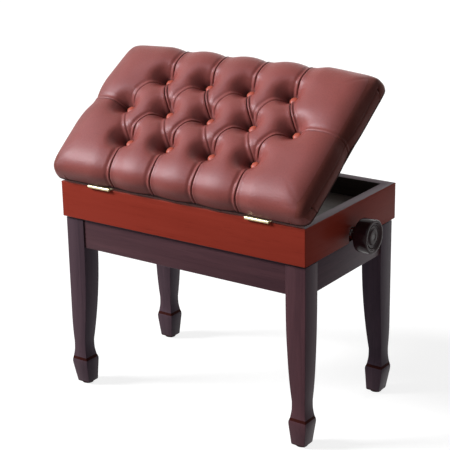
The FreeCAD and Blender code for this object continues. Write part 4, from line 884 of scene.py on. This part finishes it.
def repeat_tree():
    """A shape on every point of a mesh, turned as the point's attribute says."""
    tree, start, put = placing_group("set_on_points")
    turn = tree.nodes.new("GeometryNodeInputNamedAttribute")
    turn.data_type = "FLOAT_VECTOR"
    turn.inputs["Name"].default_value = "turn"
    euler = tree.nodes.new("FunctionNodeEulerToRotation")
    link_all(tree, (start, "Points", put, "Points"), (turn, "Attribute", euler, "Euler"),
             (euler, "Rotation", put, "Rotation"))
    return tree


REPEAT = repeat_tree()


def repeated(name, shape, spots, turns, finish):
    """One plain mesh of a shape set on every spot."""
    obj = mesh_piece(name, spots, [])
    attribute = obj.data.attributes.new("turn", "FLOAT_VECTOR", "POINT")
    attribute.data.foreach_set("vector", np.array(turns, np.float32).ravel())
    return with_group(obj, REPEAT, Shape=shape, Finish=finish)


def turned(name, profile, count, *materials):
    """A shape turned about Z from a closed profile, or one that starts and ends on the axis."""
    bm = bmesh.new()
    rings = rings_of(bm, profile, count)
    join_rings(bm, rings + rings[:1])
    bmesh.ops.recalc_face_normals(bm, faces=bm.faces)
    return smooth(from_bmesh(name, bm, *materials))


BUTTON_SEAT = 0.0336
BUTTON_PROFILE = [(0, -0.0004), (0.0070, -0.0004), (0.0082, 0.0002), (0.0086, 0.0012), (0.0083, 0.0022),
                  (0.0072, 0.0034), (0.0054, 0.0044), (0.0030, 0.0050), (0, 0.0052)]
spots = [LID_PLACE @ Vector((x, CENTRE_V + y, BUTTON_SEAT)) for x, y in BUTTON_SPOTS]
buttons = repeated("leather_buttons", turned("button_shape", BUTTON_PROFILE, 28), spots,
                   [(LID_OPEN, 0, 0)] * len(spots), button_leather)
finished(smooth(buttons), "lid", "button_leather", "tuft_buttons")


# Lining: a black cloth drawn flat under the lid board, slightly puckered between its staples
LINING_HALF, LINING_NEAR, LINING_FAR = 0.234, 0.035, 0.305
LINING_LEVEL, LINING_THICK = 0.00125, 0.0004
PUCKER, PUCKER_REACH = 0.00012, 0.02
STAPLE_GAP, STAPLE_INSET, STAPLE_LEVEL = 0.0312, 0.007, 0.0007


def lining_sheet():
    x, y = np.meshgrid(np.linspace(-LINING_HALF, LINING_HALF, 157),
                       np.linspace(LINING_NEAR, LINING_FAR, 91), indexing="ij")
    from_end = LINING_HALF - np.abs(x)
    from_side = np.minimum(y - LINING_NEAR, LINING_FAR - y)
    waves = (np.exp(-from_side / PUCKER_REACH) * np.cos(2 * math.pi * x / STAPLE_GAP)
             + np.exp(-from_end / PUCKER_REACH) * np.cos(2 * math.pi * y / STAPLE_GAP))
    z = LINING_LEVEL + PUCKER * waves / 1.3
    points = np.stack([x, y, z], -1).reshape(-1, 3)
    obj = mesh_piece("lid_lining_cloth", points, grid_faces(*x.shape)[:, ::-1], lining_cloth)
    given(obj.modifiers.new("cloth", "SOLIDIFY"), thickness=LINING_THICK, offset=1)
    baked(obj).data.transform(LID_PLACE)
    return smooth(obj, 40)


lining = lining_sheet()
finished(lining, "lid", "lining_cloth", "lid_lining")


# Staples: one shape set along a rectangle, turned with its sides
def staple_tree():
    tree, start, put = placing_group("staples_round_a_cloth", ("Length", "Depth", "Spacing"))
    add = tree.nodes.new
    path, dots = add("GeometryNodeCurvePrimitiveQuadrilateral"), add("GeometryNodeCurveToPoints")
    dots.mode = "LENGTH"
    turn = add("FunctionNodeAlignRotationToVector")
    turn.axis = "X"
    link_all(tree, (start, "Length", path, "Width"), (start, "Depth", path, "Height"),
             (path, "Curve", dots, "Curve"), (start, "Spacing", dots, "Length"),
             (dots, "Points", put, "Points"), (dots, "Tangent", turn, "Vector"),
             (turn, "Rotation", put, "Rotation"))
    return tree


def wire_staple():
    bm = bmesh.new()
    bmesh.ops.create_cube(bm, size=1)
    bmesh.ops.scale(bm, vec=(0.0105, 0.0011, 0.0006), verts=bm.verts)
    bmesh.ops.bevel(bm, geom=bm.edges, offset=0.00022, segments=1, affect="EDGES")
    return from_bmesh("wire_staple", bm)


staples = with_group(mesh_piece("lining_staples", [(0, 0, 0)], []), staple_tree(), Shape=wire_staple(),
                     Finish=steel, Length=2 * (LINING_HALF - STAPLE_INSET),
                     Depth=LINING_FAR - LINING_NEAR - 2 * STAPLE_INSET, Spacing=STAPLE_GAP)
staple_place = Matrix.Translation((0, (LINING_NEAR + LINING_FAR) / 2, STAPLE_LEVEL))
staples.data.transform(LID_PLACE @ staple_place)
finished(staples, "lid", "steel")


# Hinge screws: slotted flat heads, just proud of the leaves
HEAD_RADIUS, HEAD_SLOT, HEAD_HEIGHT = 0.0031, 0.0009, 0.00012
ARC_STEPS, HEAD_TAPER = 10, 0.93


def slotted_head():
    """Two half discs on a thin base, with a slot between them."""
    bm = bmesh.new()
    start = math.asin(HEAD_SLOT / 2 / HEAD_RADIUS)
    angles = [start + (math.pi - 2 * start) * i / ARC_STEPS for i in range(ARC_STEPS + 1)]
    for sign in (1, -1):
        edge = sign * HEAD_SLOT / 2
        low = [bm.verts.new((HEAD_RADIUS * math.cos(a), sign * HEAD_RADIUS * math.sin(a), -HEAD_HEIGHT))
               for a in angles]
        high = [bm.verts.new((HEAD_TAPER * v.co.x, edge + HEAD_TAPER * (v.co.y - edge), HEAD_HEIGHT))
                for v in low]
        bm.faces.new(high)
        bm.faces.new(low)
        join_rings(bm, [low, high])
    radius = 0.98 * HEAD_RADIUS
    disc = rings_of(bm, [(radius, -2 * HEAD_HEIGHT), (radius, -0.6 * HEAD_HEIGHT)], 20)
    bm.faces.new(disc[0])
    bm.faces.new(disc[1])
    join_rings(bm, disc)
    bmesh.ops.recalc_face_normals(bm, faces=bm.faces)
    return from_bmesh("slotted_head", bm)


HINGE_X, LEAF_FACE = 0.1815, 0.0003
leaf_spots = [(side * HINGE_X + step, 0.0125 + 0.004 * (step == 0))
              for side in (-1, 1) for step in (-0.017, 0, 0.017)]
box_screws = repeated("box_hinge_screws", slotted_head(),
                      [HINGE + Vector((x, y, -LEAF_FACE)) for x, y in leaf_spots],
                      [(0, 0, 0.6 + 0.9 * i) for i in range(len(leaf_spots))], brass)
finished(box_screws, "seat_box", "brass")
lid_screws = repeated("lid_hinge_screws", slotted_head(),
                      [LID_PLACE @ Vector((x, y, LEAF_FACE)) for x, y in leaf_spots],
                      [(math.pi + LID_OPEN, 0, 0)] * len(leaf_spots), brass)
finished(lid_screws, "lid", "brass")


# Lead screw: a rod whose left half carries a thread for the nut
SCREW_Z, SCREW_HALF, SCREW_RADIUS, SCREW_EASE = 0.379, 0.3115, 0.006, 0.001
THREAD_START, THREAD_END, THREAD_LEAD, THREAD_DEPTH = -0.243, -0.047, 0.004, 0.0010
# Shapes on the screw are made about Z and then laid along X
SCREW_PLACE = (Matrix.Translation((0, MIDDLE_Y, SCREW_Z))
               @ Matrix(((0, 0, 1), (1, 0, 0), (0, 1, 0))).to_4x4())


def lead_screw_mesh():
    """The thread as a ribbon wound round the axis, and a plain rod on either side of it."""
    bm = bmesh.new()
    steps, turns = 24, round((THREAD_END - THREAD_START) / THREAD_LEAD)
    root = SCREW_RADIUS - THREAD_DEPTH
    ridge = [(0.00, SCREW_RADIUS), (0.30, SCREW_RADIUS), (0.50, root), (0.80, root)]
    rows = []
    for i in range(turns * steps + 1):
        angle = 2 * math.pi * i / steps
        rows.append([bm.verts.new((radius * math.cos(angle), radius * math.sin(angle),
                                   THREAD_START + THREAD_LEAD * (i / steps + along)))
                     for along, radius in ridge])
    for i in range(turns * steps):
        for k in range(3):
            bm.faces.new((rows[i][k], rows[i][k + 1], rows[i + 1][k + 1], rows[i + 1][k]))
        if i + 1 + steps < len(rows):
            bm.faces.new((rows[i][3], rows[i + steps][0], rows[i + 1 + steps][0], rows[i + 1][3]))
    bmesh.ops.holes_fill(bm, edges=[e for e in bm.edges if e.is_boundary], sides=0)
    for first, last in ((-SCREW_HALF, THREAD_START + 0.006), (THREAD_END - 0.002, SCREW_HALF)):
        half = [(0, first), (SCREW_RADIUS - SCREW_EASE, first), (SCREW_RADIUS, first + SCREW_EASE),
                (SCREW_RADIUS, last - SCREW_EASE), (SCREW_RADIUS - SCREW_EASE, last), (0, last)]
        join_rings(bm, rings_of(bm, half, 32))
    bmesh.ops.recalc_face_normals(bm, faces=bm.faces)
    bmesh.ops.transform(bm, matrix=SCREW_PLACE, verts=bm.verts)
    return smooth(from_bmesh("threaded_lead_screw", bm, steel), 25)


finished(lead_screw_mesh(), "screw", "steel", "lead_screw")


# Knobs: turned, with a narrow hub, a rounded back, a dished face, a ring and a boss.
# The profile gives radius and distance along the axis, in millimetres.
KNOB_PROFILE = [
    (6.1, 0), (13.4, 0), (14, 0.6), (14, 10.6), (14.4, 11.3), (15.2, 11.5), (27.6, 11.5), (29.6, 12.0),
    (31.2, 13.3), (31.9, 15.0), (32, 16.6), (32, 39.0), (31.75, 40.1), (31.1, 40.8), (30.3, 41), (27.4, 41),
    (26.7, 40.75), (26.3, 40.2), (25.0, 37.5), (24.5, 37.05), (23.8, 36.9), (21.9, 36.9), (21.5, 37.2),
    (21.2, 37.9), (20.8, 38.2), (19.8, 38.2), (19.4, 37.9), (19.1, 37.2), (18.7, 36.9), (15.6, 36.9),
    (15.1, 37.2), (14.6, 38.6), (13.9, 39.3), (12.9, 39.5), (5.6, 39.5), (5.15, 39.35), (5.0, 39.0),
    (5.0, 36.0), (2.6, 36.0), (2.6, 26.0), (6.1, 26.0)]
KNOB_START = 0.2855
for side, sign in (("right", 1), ("left", -1)):
    profile = [(radius / 1000, sign * (KNOB_START + along / 1000)) for radius, along in KNOB_PROFILE]
    knob = turned("turned_knob_" + side, profile, 96, knob_plastic)
    knob.data.transform(SCREW_PLACE)
    finished(smooth(knob, 50), "screw", "knob_plastic", "knob_" + side)


# Finishes of the CAD pieces that keep their shape
for names, finish in (
        ("box_floor", inner_wood),
        ("corner_blocks lid_board", raw_wood),
        ("foot_glides", glide_plastic),
        ("hinge_box_leaves hinge_lid_leaves hinge_pins", brass),
        ("drive_nut screw_bushes", bronze),
        ("lift_end_plate_left lift_end_plate_right lower_rail_near lower_rail_far upper_rail_near "
         "upper_rail_far arm_a_near arm_a_far arm_b_near arm_b_far nut_bracket", black_paint),
        ("leg_bolts plate_screws lower_pivots upper_pivots stay_track stay_bracket stay_arm thrust_collars "
         "slide_rod rod_rollers arm_a_tie centre_pivots upper_rollers arm_b_tie", steel),
        ("knob_screws", blackened_steel)):
    for name in names.split():
        nodes[name].data.materials.clear()
        nodes[name].data.materials.append(finish)


# Floor, light and camera
def plainly_seen(finish):
    """One for rays from the camera, off a mirror or through glass, to which the set looks white."""
    rays = finish.add("LightPath").outputs
    seen = finish.math("MAXIMUM", rays["Is Camera Ray"], rays["Is Glossy Ray"])
    return finish.math("MAXIMUM", seen, rays["Is Transmission Ray"])


FLOOR_HALF, FLOOR_GLOW, WORLD_LIGHT = 6.0, 0.82, 0.12
WHITE = (1, 1, 1)
floor_finish = Finish("studio_floor")
glow = floor_finish.math("MULTIPLY", plainly_seen(floor_finish), FLOOR_GLOW)
floor_finish.done(Base_Color=(0.30, 0.30, 0.30), Roughness=0.9, Specular_IOR_Level=0.0,
                  Emission_Color=WHITE, Emission_Strength=glow)
floor_corners = [(FLOOR_HALF * x, FLOOR_HALF * y, 0) for x, y in ((-1, -1), (1, -1), (1, 1), (-1, 1))]
floor = mesh_piece("studio_floor", floor_corners, [(0, 1, 2, 3)], floor_finish.made)

studio = Finish("studio", "worlds", "Background")
backdrop = studio.spread(plainly_seen(studio), WORLD_LIGHT, 1.0)
scene.world = studio.done(Color=WHITE, Strength=backdrop)


def studio_lamp(name, towards, strength, spread):
    """A soft lamp that lights the whole set evenly from one side."""
    lamp = given(bpy.data.lights.new(name, "SUN"), energy=strength, angle=math.radians(spread))
    turn = Vector(towards).to_track_quat("Z", "Y").to_euler()
    return given(in_scene(name, lamp), location=Vector(towards) * 4, rotation_euler=turn)


studio_lamp("front_left_lamp", (-0.69, -0.49, 0.54), 4.7, 17)
studio_lamp("back_fill_lamp", (0.0, 0.94, 0.34), 0.9, 50)
# Seen in reflections only, for the sheen on the leather
highlight = studio_lamp("highlight_lamp", (-0.60, -0.50, 0.62), 4.0, 60)
highlight.data.color = (0.64, 0.82, 1.0)
highlight.visible_diffuse = False

# Camera fitted to the photo, with its focal length in pixels of the photo's width
AZIMUTH, ELEVATION, ROLL_TURN = (math.radians(a) for a in (35.16, 18.62, -1.02))
CAMERA_PLACE = (1.5001, -2.1390 + MIDDLE_Y, 1.2244)
SENSOR, FOCAL_PIXELS, PHOTO_WIDTH = 36, 1408.8, 450
camera = in_scene("photo_camera", bpy.data.cameras.new("photo_camera"))
given(camera.data, sensor_width=SENSOR, lens=SENSOR * FOCAL_PIXELS / PHOTO_WIDTH)
camera.matrix_world = (Matrix.Translation(CAMERA_PLACE) @ Matrix.Rotation(AZIMUTH, 4, "Z")
                       @ Matrix.Rotation(math.pi / 2 - ELEVATION, 4, "X")
                       @ Matrix.Rotation(ROLL_TURN, 4, "Z"))
scene.camera = camera
scene.view_settings.view_transform = "Standard"
